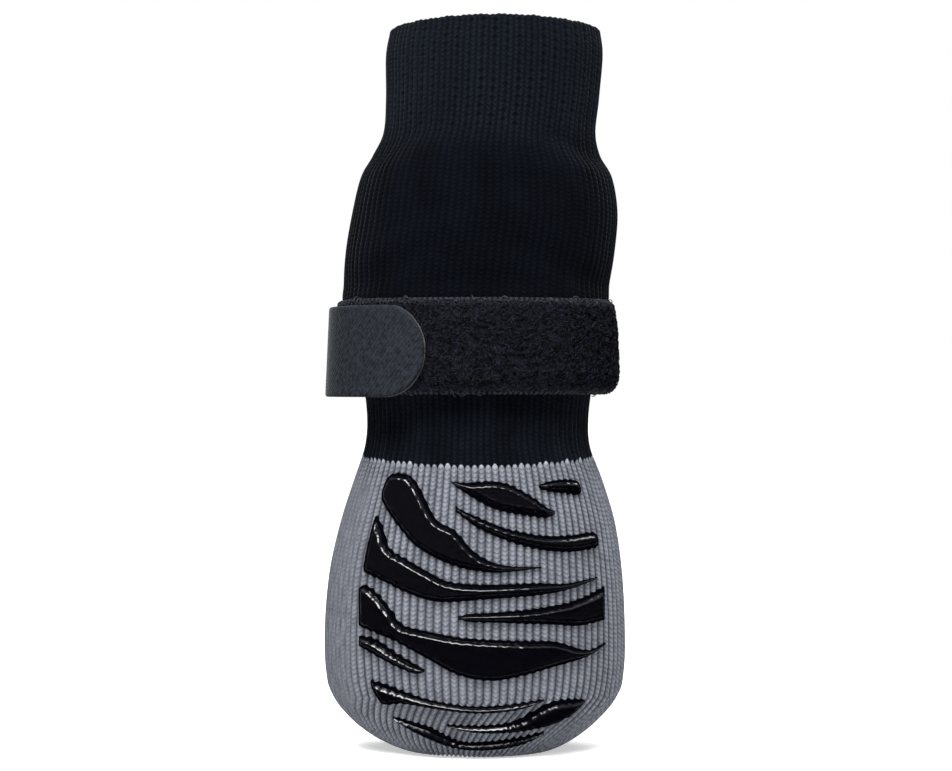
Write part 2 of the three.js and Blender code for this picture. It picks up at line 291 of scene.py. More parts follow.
class KnitSettings(bpy.types.PropertyGroup):
    """Sizes of the knitted tube"""
    sock_height: length_prop("Height", "Height that the section table is a share of", 153)
    paw_width: length_prop("Paw width", "Width that the section table is a share of", 64)
    paw_depth: length_prop("Paw depth", "Depth that the section table is a share of", 41)
    wall: length_prop("Wall", "Thickness of the plain knit", 1.8)
    cuff_wall: length_prop("Cuff wall", "Thickness of the doubled cuff", 2.4)
    rim_round: length_prop("Rim", "Height of the round turned rim", 1.1)
    course: length_prop("Course", "Height of one row of stitches", 0.95)
    toe_line: length_prop("Toe line", "Height at which the toe pocket begins", 12)
    toe_lean: length_prop("Toe lean", "How far the toe's wales run sideways", 10)
    toe_run: length_prop("Toe run", "How far down the toe they do so", 15)
    split: length_prop("Split", "Height under the strap where upper and lower knit meet", STRAP_MIDDLE / MM)
    join_sides: length_prop("Join at sides", "Height of the change from grey to black at the sides", 61.6)
    join_dip: length_prop("Join dip", "How much lower that change is in front", 1.4)
    wales: bpy.props.IntProperty(name="Wales", description="Needles of the sock machine", default=96, min=24)


class StrapSettings(bpy.types.PropertyGroup):
    """Sizes of the hook-and-loop strap"""
    height: length_prop("Height", "Height of the tape's middle above the floor", STRAP_MIDDLE / MM)
    slit: length_prop("Slit", "Gap between the band's two ends, under the tab", 0.25)
    tab_height: length_prop("Tab height", "Height of the tab's middle above the floor", 84)
    tab_width: length_prop("Tab width", "Width of the hook tape", 19)
    tab_thickness: length_prop("Tab thickness", "Thickness of the hook tape", 1.2)
    tab_seat: length_prop("Tab seat", "Distance from the sock to the tab's inner face", 2.3)
    tab_hooks: length_prop("Tab hooks", "How far the tab's hooks reach into the pile", 0.45)
    tab_tip: length_prop("Tab tip", "Where the tab's nose ends, across the front", -9.8)
    tab_nose: length_prop("Tab nose", "Length of the tab's round nose", 8.2)
    tab_root: length_prop("Tab root", "Where the tab ends, across the back", -15)
    loops: bpy.props.IntProperty(name="Loops", description="Loops in the pile", default=9600, min=0)
    loop_width: length_prop("Loop width", "Width of one loop of the pile", 1.25)
    loop_height: length_prop("Loop height", "Height of one loop of the pile", 0.4)
    fibre: length_prop("Fibre", "Thickness of the pile's yarn", 0.2)


class GripSettings(bpy.types.PropertyGroup):
    """Sizes of the silicone print"""
    height: length_prop("Height", "How far a broad stripe stands above the knit", 1.1)
    sink: length_prop("Sink", "How far the print soaks into the knit", 0.5)
    rim: length_prop("Rim", "Width of the round rim", 1.55)
    ripple: length_prop("Ripple", "How much the wales beneath show in the print", 0.08)
    scallop: length_prop("Scallop", "How much the wales beneath wave the print's edge", 0.16)


class SockColours(bpy.types.PropertyGroup):
    """Colours of the yarns, tapes and print, and the painted shade and highlights of the knit"""
    grey_ridge: colour_prop("Grey wale", "Paw yarn on the wales", "6e7179")
    # Painted shade in the grooves between the paw's wales
    grey_groove_shade: colour_prop("Grey groove", "Paw yarn between the wales", "282a2e")
    # Painted highlight on the first grey loops below the black
    join_loop_highlight: colour_prop("Join loops", "First grey loops below the black", "8e9199")
    leg_ridge: colour_prop("Leg wale", "Leg yarn on the wales", "03050b")
    # Painted shade in the grooves between the leg's wales, also painted into the cuff's eyelets
    leg_groove_shade: colour_prop("Leg groove", "Leg yarn between the wales", "010205")
    cuff_ridge: colour_prop("Cuff wale", "Cuff yarn on the wales", "0c1118")
    # Painted shade in the grooves between the cuff's wales
    cuff_groove_shade: colour_prop("Cuff groove", "Cuff yarn between the wales", "040508")
    pile_light: colour_prop("Pile light", "Lighter loops of the pile", "161822")
    pile_dark: colour_prop("Pile dark", "Darker loops of the pile", "010104")
    # Paler loops along the tape's upper and lower edges
    pile_edge: colour_prop("Pile edge", "Rubbed loops along the tape's edges", "40444b")
    selvedge: colour_prop("Selvedge", "Woven edge of the loop tape", "26292e")
    hook_light: colour_prop("Hook tape light", "Raised threads of the tab", "191e26")
    hook_dark: colour_prop("Hook tape dark", "Sunk threads of the tab", "040609")
    thread: colour_prop("Thread", "Sewing thread", "1c1e22")
    silicone: colour_prop("Silicone", "Print", "030306")


class StageSettings(bpy.types.PropertyGroup):
    """Camera and studio"""
    distance: length_prop("Distance", "Camera to the middle of the sock", 478.4)
    eye: length_prop("Eye height", "Camera above the floor", 76.9)
    lens: bpy.props.FloatProperty(
        name="Lens", description="Focal length on a 36 mm sensor", default=85, unit="CAMERA")
    floor_side: length_prop("Floor side", "Length of the floor's sides", 12000)
    floor: colour_prop("Floor", "Pale floor", "dcdcdd")


def spline(values, at):
    """A Catmull-Rom spline through evenly numbered values, at places that need not be whole."""
    values = np.asarray(values, float)
    last = len(values) - 1
    i = np.clip(np.floor(at).astype(int), 0, last - 1)
    t = at - i
    before, start, end, after = (values[np.clip(i + k, 0, last)] for k in (-1, 0, 1, 2))
    slope_in = (end - before) / 2
    slope_out = (after - start) / 2
    bend = 2 * (start - end) + slope_in + slope_out
    return start + t * (slope_in + t * (end - start - slope_in - bend + t * bend))


def smooth_step(low, high, value):
    """0 below low, 1 above high, and a soft S between them."""
    t = np.clip((value - low) / (high - low), 0, 1)
    return t * t * (3 - 2 * t)


def round_rise(share):
    """Height of a quarter circle at shares of its width."""
    return np.sqrt(np.maximum(1 - (1 - np.clip(share, 0, 1)) ** 2, 0))


def run_along(points):
    """How far along a line of points each of them lies, from the first."""
    steps = np.linalg.norm(np.diff(points, axis=0), axis=1)
    return np.concatenate([[0], np.cumsum(steps)])


def column(name, row):
    """One column of the section table, at rows that need not be whole."""
    return spline([getattr(section, name) for section in SECTIONS], row)


def reach(knit, side, row):
    """Half-widths and half-depths of the sections, in metres."""
    span = knit.paw_depth if side in ("front", "back") else knit.paw_width
    return column(side, row) * span / 2


def height_of(knit, row):
    """Heights of the sections. Those past the edge of the sole lie on the floor."""
    return np.where(row > SOLE_ROW, 0, column("up", row) * knit.sock_height)


def depth_at(knit, row, is_front):
    """How far the sections reach to the front or to the back."""
    return np.where(is_front, reach(knit, "front", row), reach(knit, "back", row))


def outside(knit, angle, row):
    """Points of the sock's outside. The angle runs from the right side by way of the back."""
    left, right = -reach(knit, "left", row), reach(knit, "right", row)
    across = (left + right) / 2 + (right - left) / 2 * np.cos(angle)
    depth = depth_at(knit, row, np.sin(angle) < 0)
    return np.stack([across, depth * np.sin(angle), height_of(knit, row) + 0 * across], -1)


def skin(knit, angle, row, offset):
    """The same points moved out along the surface's normals, or in where the offset is negative."""
    around = outside(knit, angle + STEP, row) - outside(knit, angle - STEP, row)
    upward = outside(knit, angle, np.maximum(row - STEP, 0)) - outside(knit, angle, row + STEP)
    normal = np.cross(around, upward)
    normal /= np.maximum(np.linalg.norm(normal, axis=-1, keepdims=True), NEARLY_ZERO)
    normal = np.where((row >= SOLE_ROW)[..., None], DOWN, normal)
    return outside(knit, angle, row) + normal * offset[..., None]


def beside_strap(knit, angle, out, height=STRAP_MIDDLE):
    """Points beside the sock's outline under the strap, moved straight out, and more so further down."""
    out = out + STRAP_FLARE * (STRAP_MIDDLE - height)
    row = np.full_like(angle, STRAP_ROW, dtype=float)
    along = outside(knit, angle + STEP, row) - outside(knit, angle - STEP, row)
    normal = np.stack([along[..., 1], -along[..., 0], 0 * along[..., 0]], -1)
    normal /= np.linalg.norm(normal, axis=-1, keepdims=True)
    points = outside(knit, angle, row) + normal * np.asarray(out)[..., None]
    points[..., 2] = height
    return points


def girth_line(knit, row):
    """Angles round one section from the middle of the back, and the girth up to each of them."""
    angle = np.linspace(0.5, 2.5, GIRTH_STEPS) * np.pi
    return angle, run_along(outside(knit, angle, np.full_like(angle, row)))


def even_angles(knit, shares, row):
    """Angles at shares of one section's girth, counted from the middle of the back."""
    angle, girth = girth_line(knit, row)
    return np.interp(np.mod(shares, 1) * girth[-1], girth, angle)


def front_share(knit, angle, row):
    """Shares of the girth at points of the front, the other way round from even_angles."""
    shares = np.empty_like(angle)
    nearest = np.round(row * ROW_PARTS) / ROW_PARTS
    for one in np.unique(nearest):
        ring_angle, girth = girth_line(knit, one)
        here = nearest == one
        shares[here] = np.interp(angle[here], ring_angle, girth / girth[-1])
    return shares


def climb(knit):
    """Rows of the section table and how far up the front, from the toe seam, each of them lies."""
    row = np.linspace(SEAM_ROW, 0, LENGTH_STEPS)
    return row, run_along(np.stack([reach(knit, "front", row), height_of(knit, row)], -1))


def length_at_height(knit, height):
    """How far up the front, from the toe seam, a height lies."""
    row, length = climb(knit)
    above = row <= SOLE_ROW
    return float(np.interp(height, column("up", row[above]) * knit.sock_height, length[above]))


def stretched(wale, height):
    """How far the knit is stretched smooth there, from 0 to 1."""
    across = smooth_step(*STRETCH_START, wale) * (1 - smooth_step(*STRETCH_END, wale))
    return across * (1 - smooth_step(*STRETCH_TOP, height))


def rib_relief(wale, height):
    """How far the knit lies below its highest wales."""
    heights = [rib.height * MM for rib in RIBS]
    depth = np.interp(height, heights, [rib.depth * MM for rib in RIBS])
    depth = depth * (1 - STRETCH_SHARE * stretched(wale, height))
    uneven = np.interp(height, heights, [rib.uneven for rib in RIBS])
    ridge = 0.5 - 0.5 * np.cos(2 * np.pi * wale)
    second = np.floor(wale) % 2
    return depth * (ridge * (1 - uneven * second) - 1)


def fold_relief(points):
    """How far the listed folds, and the swelling against the strap's upper edge, move the knit."""
    relief = SWELL_DEPTH * np.exp(-((points[..., 2] - SWELL_HEIGHT) / SWELL_WIDTH) ** 2)
    for fold in FOLDS:
        across = points[..., 0] - fold.across * MM
        up = points[..., 2] - fold.up * MM
        slope = math.radians(fold.slope)
        along = across * math.cos(slope) + up * math.sin(slope)
        off = up * math.cos(slope) - across * math.sin(slope)
        shape = np.exp(-(off / (fold.width * MM)) ** 2 - (along / (fold.length * MM)) ** 4)
        relief -= fold.depth * MM * shape * smooth_step(*FOLD_FADE, fold.side * points[..., 1])
    return relief


def toe_shift(knit, length, columns):
    """How far, as a share of the girth, the toe's wales have run sideways at each length from the seam."""
    start = length_at_height(knit, knit.toe_line)
    girth = math.pi * (knit.paw_width + knit.paw_depth) / 2
    whole = round(knit.toe_lean / girth * columns) / columns
    return -whole * np.clip((start - length) / knit.toe_run, 0, 1)


def new_piece(name, mesh, material, nodes):
    """Finishes a mesh as a piece of the object that stands for CAD nodes."""
    mesh.name = name
    mesh.shade_smooth()
    mesh.materials.append(material)
    piece = bpy.data.objects.new(name, mesh)
    bpy.context.scene.collection.objects.link(piece)
    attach(piece, "root")
    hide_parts(*nodes)


def mesh_of(bm):
    """The mesh that a bmesh has become."""
    mesh = bpy.data.meshes.new("mesh")
    bm.to_mesh(mesh)
    bm.free()
    return mesh


def weld(bm):
    """Closes seams and poles."""
    bmesh.ops.remove_doubles(bm, verts=bm.verts, dist=WELD_DISTANCE)
    bmesh.ops.dissolve_degenerate(bm, edges=bm.edges, dist=FLAT_DISTANCE)


def unit_grid(shape, marks=()):
    """A flat grid with a vertex for each place of an array of that shape, whose first index goes up."""
    bm = bmesh.new()
    bm.loops.layers.uv.new("UVMap")
    for name in marks:
        bm.verts.layers.float.new(name)
    bmesh.ops.create_grid(bm, x_segments=shape[1] - 1, y_segments=shape[0] - 1, size=0.5)
    return bm


def lay(bm, verts, points, uvs, marks=()):
    """Moves vertices of a unit grid to an array of points, with their UV and named values for each."""
    rows, columns = points.shape[0] - 1, points.shape[1] - 1
    uv = bm.loops.layers.uv.active
    layers = [(bm.verts.layers.float[name], values) for name, values in dict(marks).items()]
    for vert in verts:
        j = round((vert.co.y + 0.5) * rows)
        i = round((vert.co.x + 0.5) * columns)
        vert.co = points[j, i]
        for layer, values in layers:
            vert[layer] = values[j, i]
        for loop in vert.link_loops:
            loop[uv].uv = uvs[j, i]


def raised_patch(top, base, uvs, marks=()):
    """A closed solid between two arrays of points, with named values on its top."""
    bm = unit_grid(top.shape, marks)
    sunk = bm.verts[:]
    made = bmesh.ops.extrude_face_region(bm, geom=bm.faces[:], use_keep_orig=True)
    raised = [item for item in made["geom"] if isinstance(item, bmesh.types.BMVert)]
    lay(bm, sunk, base, uvs)
    lay(bm, raised, top, uvs, marks)
    weld(bm)
    bmesh.ops.recalc_face_normals(bm, faces=bm.faces)
    return bm


def knit_layer(knit, columns, rows, offset, face, lift, lengths):
    """A knitted layer as a mesh, a ring of vertices for each row from bottom to top as seen from its face.

    offset moves each ring out and lift raises it. face is 1 where wales stand outwards and -1 where inwards.
    """
    shares = np.linspace(0, 1, columns + 1)
    shift = toe_shift(knit, lengths, columns)
    angle = np.stack([even_angles(knit, shares + s, row) for row, s in zip(rows, shift)])
    row = np.repeat(rows[:, None], columns + 1, 1)
    plain = outside(knit, angle, row)
    behind, height = plain[..., 1], plain[..., 2]
    wale = np.broadcast_to(shares * knit.wales, angle.shape)
    relief = face[:, None] * (rib_relief(wale, height) + fold_relief(plain))
    points = skin(knit, angle, row, offset[:, None] + relief)
    # The rim is beaded by the wales and wanders a little up and down
    slow, quick = (np.sin(wale * rate) for rate in RIM_WANDER_RATES)
    crest = 1 - RIM_BEAD * np.cos(2 * np.pi * wale) + RIM_WANDER * slow * quick
    near_rim = smooth_step(knit.sock_height - RIM_DIP_RUN, knit.sock_height, height)
    dip = RIM_DIP * np.cos(angle) ** 2 * near_rim
    points[..., 2] = np.maximum(points[..., 2] + lift[:, None] * crest - dip, 0)
    bulge = behind / np.maximum(depth_at(knit, row, behind < 0), NEARLY_ZERO)
    join = knit.join_sides - knit.join_dip * bulge ** 2
    uvs = np.stack([wale, np.repeat(lengths[:, None] / knit.course, columns + 1, 1)], -1)
    marks = {"below_join": (join - points[..., 2]) / MM, "stretched": stretched(wale, height)}
    bm = unit_grid(angle.shape, marks)
    lay(bm, bm.verts, points, uvs, marks)
    weld(bm)
    return mesh_of(bm)


def wall_at(knit, row):
    """Thickness of the knit, which thins out below the doubled cuff."""
    share = np.clip(row - CUFF_END_ROW, 0, 1)
    return knit.cuff_wall + share * (knit.wall - knit.cuff_wall)


def set_inputs(node, links):
    """Gives a node's inputs, by name or number, a socket to join or a value."""
    for name, value in links.items():
        if isinstance(value, bpy.types.NodeSocket):
            node.id_data.links.new(value, node.inputs[name])
        else:
            node.inputs[name].default_value = value


def add_node(tree, kind, links=(), **settings):
    """Adds a shader node with its settings and links, and returns its outputs."""
    node = tree.nodes.new("ShaderNode" + kind)
    for name, value in settings.items():
        setattr(node, name, value)
    set_inputs(node, dict(links))
    return node.outputs


def new_material(name, constants):
    """A material with its constants on the shader's own sockets, that shader, and add_node for its tree."""
    material = bpy.data.materials.new(name)
    material.use_nodes = True
    shader = material.node_tree.nodes["Principled BSDF"]
    set_inputs(shader, constants)
    return material, shader, partial(add_node, material.node_tree)


def opaque(colour):
    """A colour as a socket takes it."""
    return (*colour, 1.0)


# Where a point lies on the knit: across in wales and up in courses, the number and the luck of its wale,
# how high the wale is there, how many courses up its V of yarn is, and how high that yarn is.
Wales = namedtuple("Wales", "across up number luck ridge course stitch")


def wale_pattern(node, uv):
    """The ridges of the wales, the grooves between them and the V of each stitch."""
    across, up, _ = node("SeparateXYZ", {0: uv})
    # Across one wale: 0 in the middle and 1 in the grooves beside it
    share = node("Math", {0: across}, operation="FRACT")[0]
    off = node("Math", {0: share, 1: 2, 2: -1}, operation="MULTIPLY_ADD")[0]
    groove = node("Math", {0: off}, operation="ABSOLUTE")[0]
    square = node("Math", {0: off, 1: off}, operation="MULTIPLY")[0]
    ridge = node("Math", {0: 1, 1: square}, operation="SUBTRACT")[0]
    # Up the wale: the two legs of each stitch rise towards the grooves, and neighbours don't line up
    number = node("Math", {0: across}, operation="FLOOR")[0]
    luck = node("TexWhiteNoise", {"W": number}, noise_dimensions="1D")["Value"]
    risen = node("Math", {0: luck, 1: 0.75, 2: up}, operation="MULTIPLY_ADD")[0]
    course = node("Math", {0: groove, 1: -0.55, 2: risen}, operation="MULTIPLY_ADD")[0]
    loop = node("Math", {0: course, 1: 0.5}, operation="PINGPONG")[0]
    stitch = node("MapRange", {"Value": loop, "From Min": 0.04, "From Max": 0.3},
                  interpolation_type="SMOOTHSTEP")[0]
    return Wales(across, up, number, luck, ridge, course, stitch)


def painted_relief_light(node, uv, wales, fibre, smooth):
    """How light the yarn is painted, from painted shade in the grooves up to painted highlights on the tops
    of the stitches.
    """
    # Painted highlight where a stitch's leg is on top of the wale
    lit = node("Math", {0: wales.stitch, 1: 0.35, 2: 0.65}, operation="MULTIPLY_ADD")[0]
    tone = node("Math", {0: wales.ridge, 1: lit}, operation="MULTIPLY")[0]
    speck = node("Math", {0: fibre, 1: 0.5, 2: -0.25}, operation="MULTIPLY_ADD")[0]
    specked = node("Math", {0: tone, 1: speck}, operation="ADD")[0]
    # No two stitches are pulled quite as tight
    row = node("Math", {0: wales.course}, operation="ROUND")[0]
    cell = node("CombineXYZ", {0: wales.number, 1: row})[0]
    pull = node("TexWhiteNoise", {"Vector": cell}, noise_dimensions="2D")["Value"]
    pulled = node("Math", {0: pull, 1: 0.4, 2: 0.78}, operation="MULTIPLY_ADD")[0]
    even = node("Math", {0: specked, 1: pulled}, operation="MULTIPLY")[0]
    # Some wales lie higher than others, which shows as long streaks
    lane = node("VectorMath", {0: uv, 1: (0.45, 0.025, 0)}, operation="MULTIPLY")[0]
    lie = node("TexNoise", {"Vector": lane, "Scale": 1, "Detail": 1})[0]
    streak = node("MapRange", {"Value": lie, "From Min": 0.3, "From Max": 0.7,
                               "To Min": 0.86, "To Max": 1.14})[0]
    ribbed = node("Math", {0: even, 1: streak}, operation="MULTIPLY")[0]
    # Where the knit is stretched smooth, fine lines of fibre show instead of wales
    drawn = node("VectorMath", {0: uv, 1: (4, 0.3, 0)}, operation="MULTIPLY")[0]
    line = node("TexNoise", {"Vector": drawn, "Scale": 1, "Detail": 2})[0]
    plain = node("MapRange", {"Value": line, "From Min": 0.3, "From Max": 0.7,
                              "To Min": 0.3, "To Max": 0.85})[0]
    most = node("Math", {0: smooth, 1: 0.75}, operation="MULTIPLY")[0]
    return node("Mix", {"Factor": most, 2: ribbed, 3: plain})[0]


def cuff_eyelets(node, wales, cloud, cuff_share):
    """Small eyelets that the cuff's tuck stitches leave between each second pair of wales: where their
    painted shade and their depth go.
    """
    beside = node("Math", {0: wales.across, 1: 1}, operation="PINGPONG")[0]
    half = node("Math", {0: wales.across, 1: 0.5}, operation="MULTIPLY")[0]
    lane = node("Math", {0: half}, operation="ROUND")[0]
    chance = node("TexWhiteNoise", {"W": lane}, noise_dimensions="1D")["Value"]
    start = node("Math", {0: chance, 1: 1.9, 2: wales.up}, operation="MULTIPLY_ADD")[0]
    above = node("Math", {0: start, 1: 0.95}, operation="PINGPONG")[0]
    corner = node("CombineXYZ", {0: beside, 1: above})[0]
    apart = node("VectorMath", {0: corner}, operation="LENGTH")["Value"]
    eyelet = node("MapRange", {"Value": apart, "From Min": 0.62, "From Max": 0.25},
                  interpolation_type="SMOOTHSTEP")[0]
    patchy = node("MapRange", {"Value": cloud, "From Min": 0.35, "From Max": 0.6,
                               "To Min": 0.25, "To Max": 0.75})[0]
    some = node("Math", {0: eyelet, 1: patchy}, operation="MULTIPLY")[0]
    return node("Math", {0: some, 1: cuff_share}, operation="MULTIPLY")[0]


def black_yarn(node, colours, place, up, light, hole, cuff_share):
    """Black yarn of the leg, the cuff and the ankle."""
    # Each yarn goes from painted shade in its grooves to its own colour on the wales
    leg, cuff = (
        node("Mix", {"Factor": light, 6: opaque(groove), 7: opaque(ridge)}, data_type="RGBA")[2]
        for groove, ridge in (
            (colours.leg_groove_shade, colours.leg_ridge), (colours.cuff_groove_shade, colours.cuff_ridge)))
    # The cuff's eyelets are painted with the leg's groove colour: painted shade in the holes
    open_cuff = node("Mix", {"Factor": hole, 6: cuff, 7: opaque(colours.leg_groove_shade)}, data_type="RGBA")[2]
    # Below the strap the ankle is painted paler: painted light that lifts the strap's shadow
    ankle_painted_light = node("MapRange", {"Value": up, "From Min": ANKLE_LIGHT_FADE[0], "From Max": ANKLE_LIGHT_FADE[1],
                                    "To Max": 0.55})[0]
    low = node("Mix", {"Factor": ankle_painted_light, 6: leg, 7: cuff}, data_type="RGBA")[2]
    black = node("Mix", {"Factor": cuff_share, 6: low, 7: open_cuff}, data_type="RGBA")[2]
    # Random patches, taller than they are wide and weaker on the cuff, lighten and darken it: wear, and
    # painted shade of soft folds
    tall = node("VectorMath", {0: place, 1: (1, 1, 0.45)}, operation="MULTIPLY")[0]
    fold_shade_and_wear = node("TexNoise", {"Vector": tall, "Scale": 1 / (9 * MM), "Detail": 3})[0]
    spread = node("MapRange", {"Value": fold_shade_and_wear, "From Min": 0.33, "From Max": 0.67,
                               "To Min": -0.4, "To Max": 0.4})[0]
    calm = node("Math", {0: cuff_share, 1: -0.75, 2: 1}, operation="MULTIPLY_ADD")[0]
    patch = node("Math", {0: spread, 1: calm, 2: 1}, operation="MULTIPLY_ADD")[0]
    return node("VectorMath", {0: black, "Scale": patch}, operation="SCALE")[0]


def grey_yarn(node, knit, colours, wales, light, above_join):
    """Grey yarn of the paw, with a painted highlight on the loops that reach up into the black and painted
    shade on its sides.
    """
    # From painted shade in the grooves to the wale colour
    grey = node("Mix", {"Factor": light, 6: opaque(colours.grey_groove_shade), 7: opaque(colours.grey_ridge)},
                data_type="RGBA")[2]
    edge = node("MapRange", {"Value": above_join, "From Min": 1.7, "From Max": 1.0})[0]
    tip = node("Math", {0: edge, 1: wales.ridge}, operation="MULTIPLY")[0]
    join_highlight = node("Math", {0: tip, 1: wales.luck}, operation="MULTIPLY", use_clamp=True)[0]
    lit = node("Mix", {"Factor": join_highlight, 6: grey, 7: opaque(colours.join_loop_highlight)}, data_type="RGBA")[2]
    # The paw's sides are painted a little darker than its front: painted shade
    turn = node("Math", {0: wales.across, 1: 2 * math.pi / knit.wales}, operation="MULTIPLY")[0]
    side = node("Math", {0: turn}, operation="SINE")[0]
    sideways = node("Math", {0: side, 1: 4}, operation="POWER")[0]
    painted_side_shade = node("Math", {0: sideways, 1: -0.2, 2: 1}, operation="MULTIPLY_ADD")[0]
    return node("VectorMath", {0: lit, "Scale": painted_side_shade}, operation="SCALE")[0]


def ribbed_knit(knit, colours):
    """Polyester rib knit from a sock machine: matt, soft, with V stitches up each wale, painted shade in the
    grooves and painted highlights on the stitches.
    """
    material, shader, node = new_material("ribbed_polyester_knit", {
        "Roughness": 0.9, "Specular IOR Level": 0.035, "Sheen Weight": 0.03, "Sheen Roughness": 0.36})
    uv = node("UVMap", uv_map="UVMap")[0]
    place = node("TexCoord")["Object"]
    up = node("SeparateXYZ", {0: place})[2]
    below_join = node("Attribute", attribute_name="below_join")["Fac"]
    smooth = node("Attribute", attribute_name="stretched")["Fac"]
    # Real fibres are finer than this, and are drawn as coarse as they need to show
    fibre = node("TexNoise", {"Vector": place, "Scale": 1 / (0.35 * MM), "Detail": 3})[0]
    cloud = node("TexNoise", {"Vector": place, "Scale": 1 / (6 * MM), "Detail": 2})[0]
    cuff_share = node("MapRange", {"Value": up, "From Min": CUFF_FADE[0], "From Max": CUFF_FADE[1]},
                      interpolation_type="SMOOTHSTEP")[0]
    wales = wale_pattern(node, uv)
    light = painted_relief_light(node, uv, wales, fibre, smooth)
    hole = cuff_eyelets(node, wales, cloud, cuff_share)
    black = black_yarn(node, colours, place, up, light, hole, cuff_share)
    # The first grey loops reach up between the black ones, some wales higher than others
    uneven = node("Math", {0: wales.luck, 1: 0.5, 2: below_join}, operation="MULTIPLY_ADD")[0]
    reached = node("Math", {0: wales.ridge, 1: 0.9, 2: uneven}, operation="MULTIPLY_ADD")[0]
    is_grey = node("MapRange", {"Value": reached, "From Min": 0.6, "From Max": 0.8},
                   interpolation_type="SMOOTHSTEP")[0]
    grey = grey_yarn(node, knit, colours, wales, light, reached)
    colour = node("Mix", {"Factor": is_grey, 6: black, 7: grey}, data_type="RGBA")[2]
    # The dye has taken a little unevenly
    shade = node("MapRange", {"Value": cloud, "From Min": 0.3, "From Max": 0.7,
                              "To Min": 0.95, "To Max": 1.05})[0]
    toned = node("VectorMath", {0: colour, "Scale": shade}, operation="SCALE")[0]
    # Stitches stand out, eyelets lie deep and the fibres are rough
    raised = node("Math", {0: wales.stitch, 1: wales.ridge}, operation="MULTIPLY")[0]
    eyed = node("Math", {0: raised, 1: hole}, operation="SUBTRACT")[0]
    relief = node("Math", {0: fibre, 1: 0.35, 2: eyed}, operation="MULTIPLY_ADD")[0]
    bump = node("Bump", {"Strength": 0.8, "Distance": 0.16 * MM, "Height": relief})[0]
    set_inputs(shader, {"Base Color": toned, "Normal": bump})
    return material


def silicone_print(colours):
    """Screen-printed silicone: glossy black, cured in slight waves, matt where it bled into the knit."""
    material, shader, node = new_material("glossy_printed_silicone", {
        "Base Color": opaque(colours.silicone), "Roughness": 0.6, "Specular IOR Level": 0.0,
        "Coat Roughness": 0.14, "Coat IOR": 1.45})
    place = node("TexCoord")["Object"]
    gloss = node("Attribute", attribute_name="gloss")["Fac"]
    wave = node("TexNoise", {"Vector": place, "Scale": 1 / (1.7 * MM), "Detail": 2})[0]
    bump = node("Bump", {"Strength": 0.55, "Distance": 0.35 * MM, "Height": wave})[0]
    set_inputs(shader, {"Normal": bump, "Coat Normal": bump, "Coat Weight": gloss})
    return material


def loop_tape(colours):
    """Nylon loop tape: a matt dark ground with woven selvedges."""
    material, shader, node = new_material("nylon_loop_tape", {"Roughness": 0.92, "Specular IOR Level": 0.08})
    uv = node("UVMap", uv_map="UVMap")[0]
    place = node("TexCoord")["Object"]
    along, up, _ = node("SeparateXYZ", {0: uv})
    tuft = node("TexVoronoi", {"Vector": place, "Scale": 1 / (0.55 * MM)})["Distance"]
    cloud = node("TexNoise", {"Vector": place, "Scale": 1 / (1.6 * MM), "Detail": 3})[0]
    pile = node("Mix", {"Factor": cloud, 6: opaque(colours.pile_dark), 7: opaque(colours.pile_light)},
                data_type="RGBA")[2]
    # Woven edge: a loop of the weft every 1.1 mm, some more worn than others
    weft = node("Math", {0: along, 1: 0.55}, operation="PINGPONG")[0]
    turned = node("MapRange", {"Value": weft, "From Min": 0.1, "From Max": 0.5,
                               "To Min": 0.3, "To Max": 1.7})[0]
    thread = node("Math", {0: turned, 1: cloud}, operation="MULTIPLY")[0]
    edge = node("VectorMath", {0: colours.selvedge, "Scale": thread}, operation="SCALE")[0]
    off = node("Math", {0: up}, operation="ABSOLUTE")[0]
    is_edge = node("MapRange", {"Value": off, "From Min": SELVEDGE[0] / MM, "From Max": SELVEDGE[1] / MM})[0]
    colour = node("Mix", {"Factor": is_edge, 6: pile, 7: edge}, data_type="RGBA")[2]
    rough = node("Mix", {"Factor": is_edge, 2: tuft, 3: thread})[0]
    bump = node("Bump", {"Strength": 0.9, "Distance": 0.2 * MM, "Height": rough})[0]
    set_inputs(shader, {"Base Color": colour, "Normal": bump})
    return material


def loop_fibre(strap, colours):
    """Nylon yarn of the pile: dark, with a little shine on each loop, paler along the tape's upper and lower
    edges.
    """
    material, shader, node = new_material("nylon_pile_yarn", {
        "Roughness": 0.6, "Specular IOR Level": 0.14, "Sheen Weight": 0.01, "Sheen Roughness": 0.3})
    place = node("TexCoord")["Object"]
    cloud = node("TexNoise", {"Vector": place, "Scale": 1 / (0.9 * MM), "Detail": 2})[0]
    share = node("MapRange", {"Value": cloud, "From Min": 0.45, "From Max": 0.62})[0]
    yarn = node("Mix", {"Factor": share, 6: opaque(colours.pile_dark), 7: opaque(colours.pile_light)},
                data_type="RGBA")[2]
    up = node("SeparateXYZ", {0: place})[2]
    above = node("Math", {0: up, 1: strap.height}, operation="SUBTRACT")[0]
    off = node("Math", {0: above}, operation="ABSOLUTE")[0]
    paler_share = node("MapRange", {"Value": off, "From Min": PALE_PILE_EDGE[0], "From Max": PALE_PILE_EDGE[1]})[0]
    some = node("Math", {0: paler_share, 1: cloud}, operation="MULTIPLY")[0]
    colour = node("Mix", {"Factor": some, 6: yarn, 7: opaque(colours.pile_edge)}, data_type="RGBA")[2]
    set_inputs(shader, {"Base Color": colour})
    return material


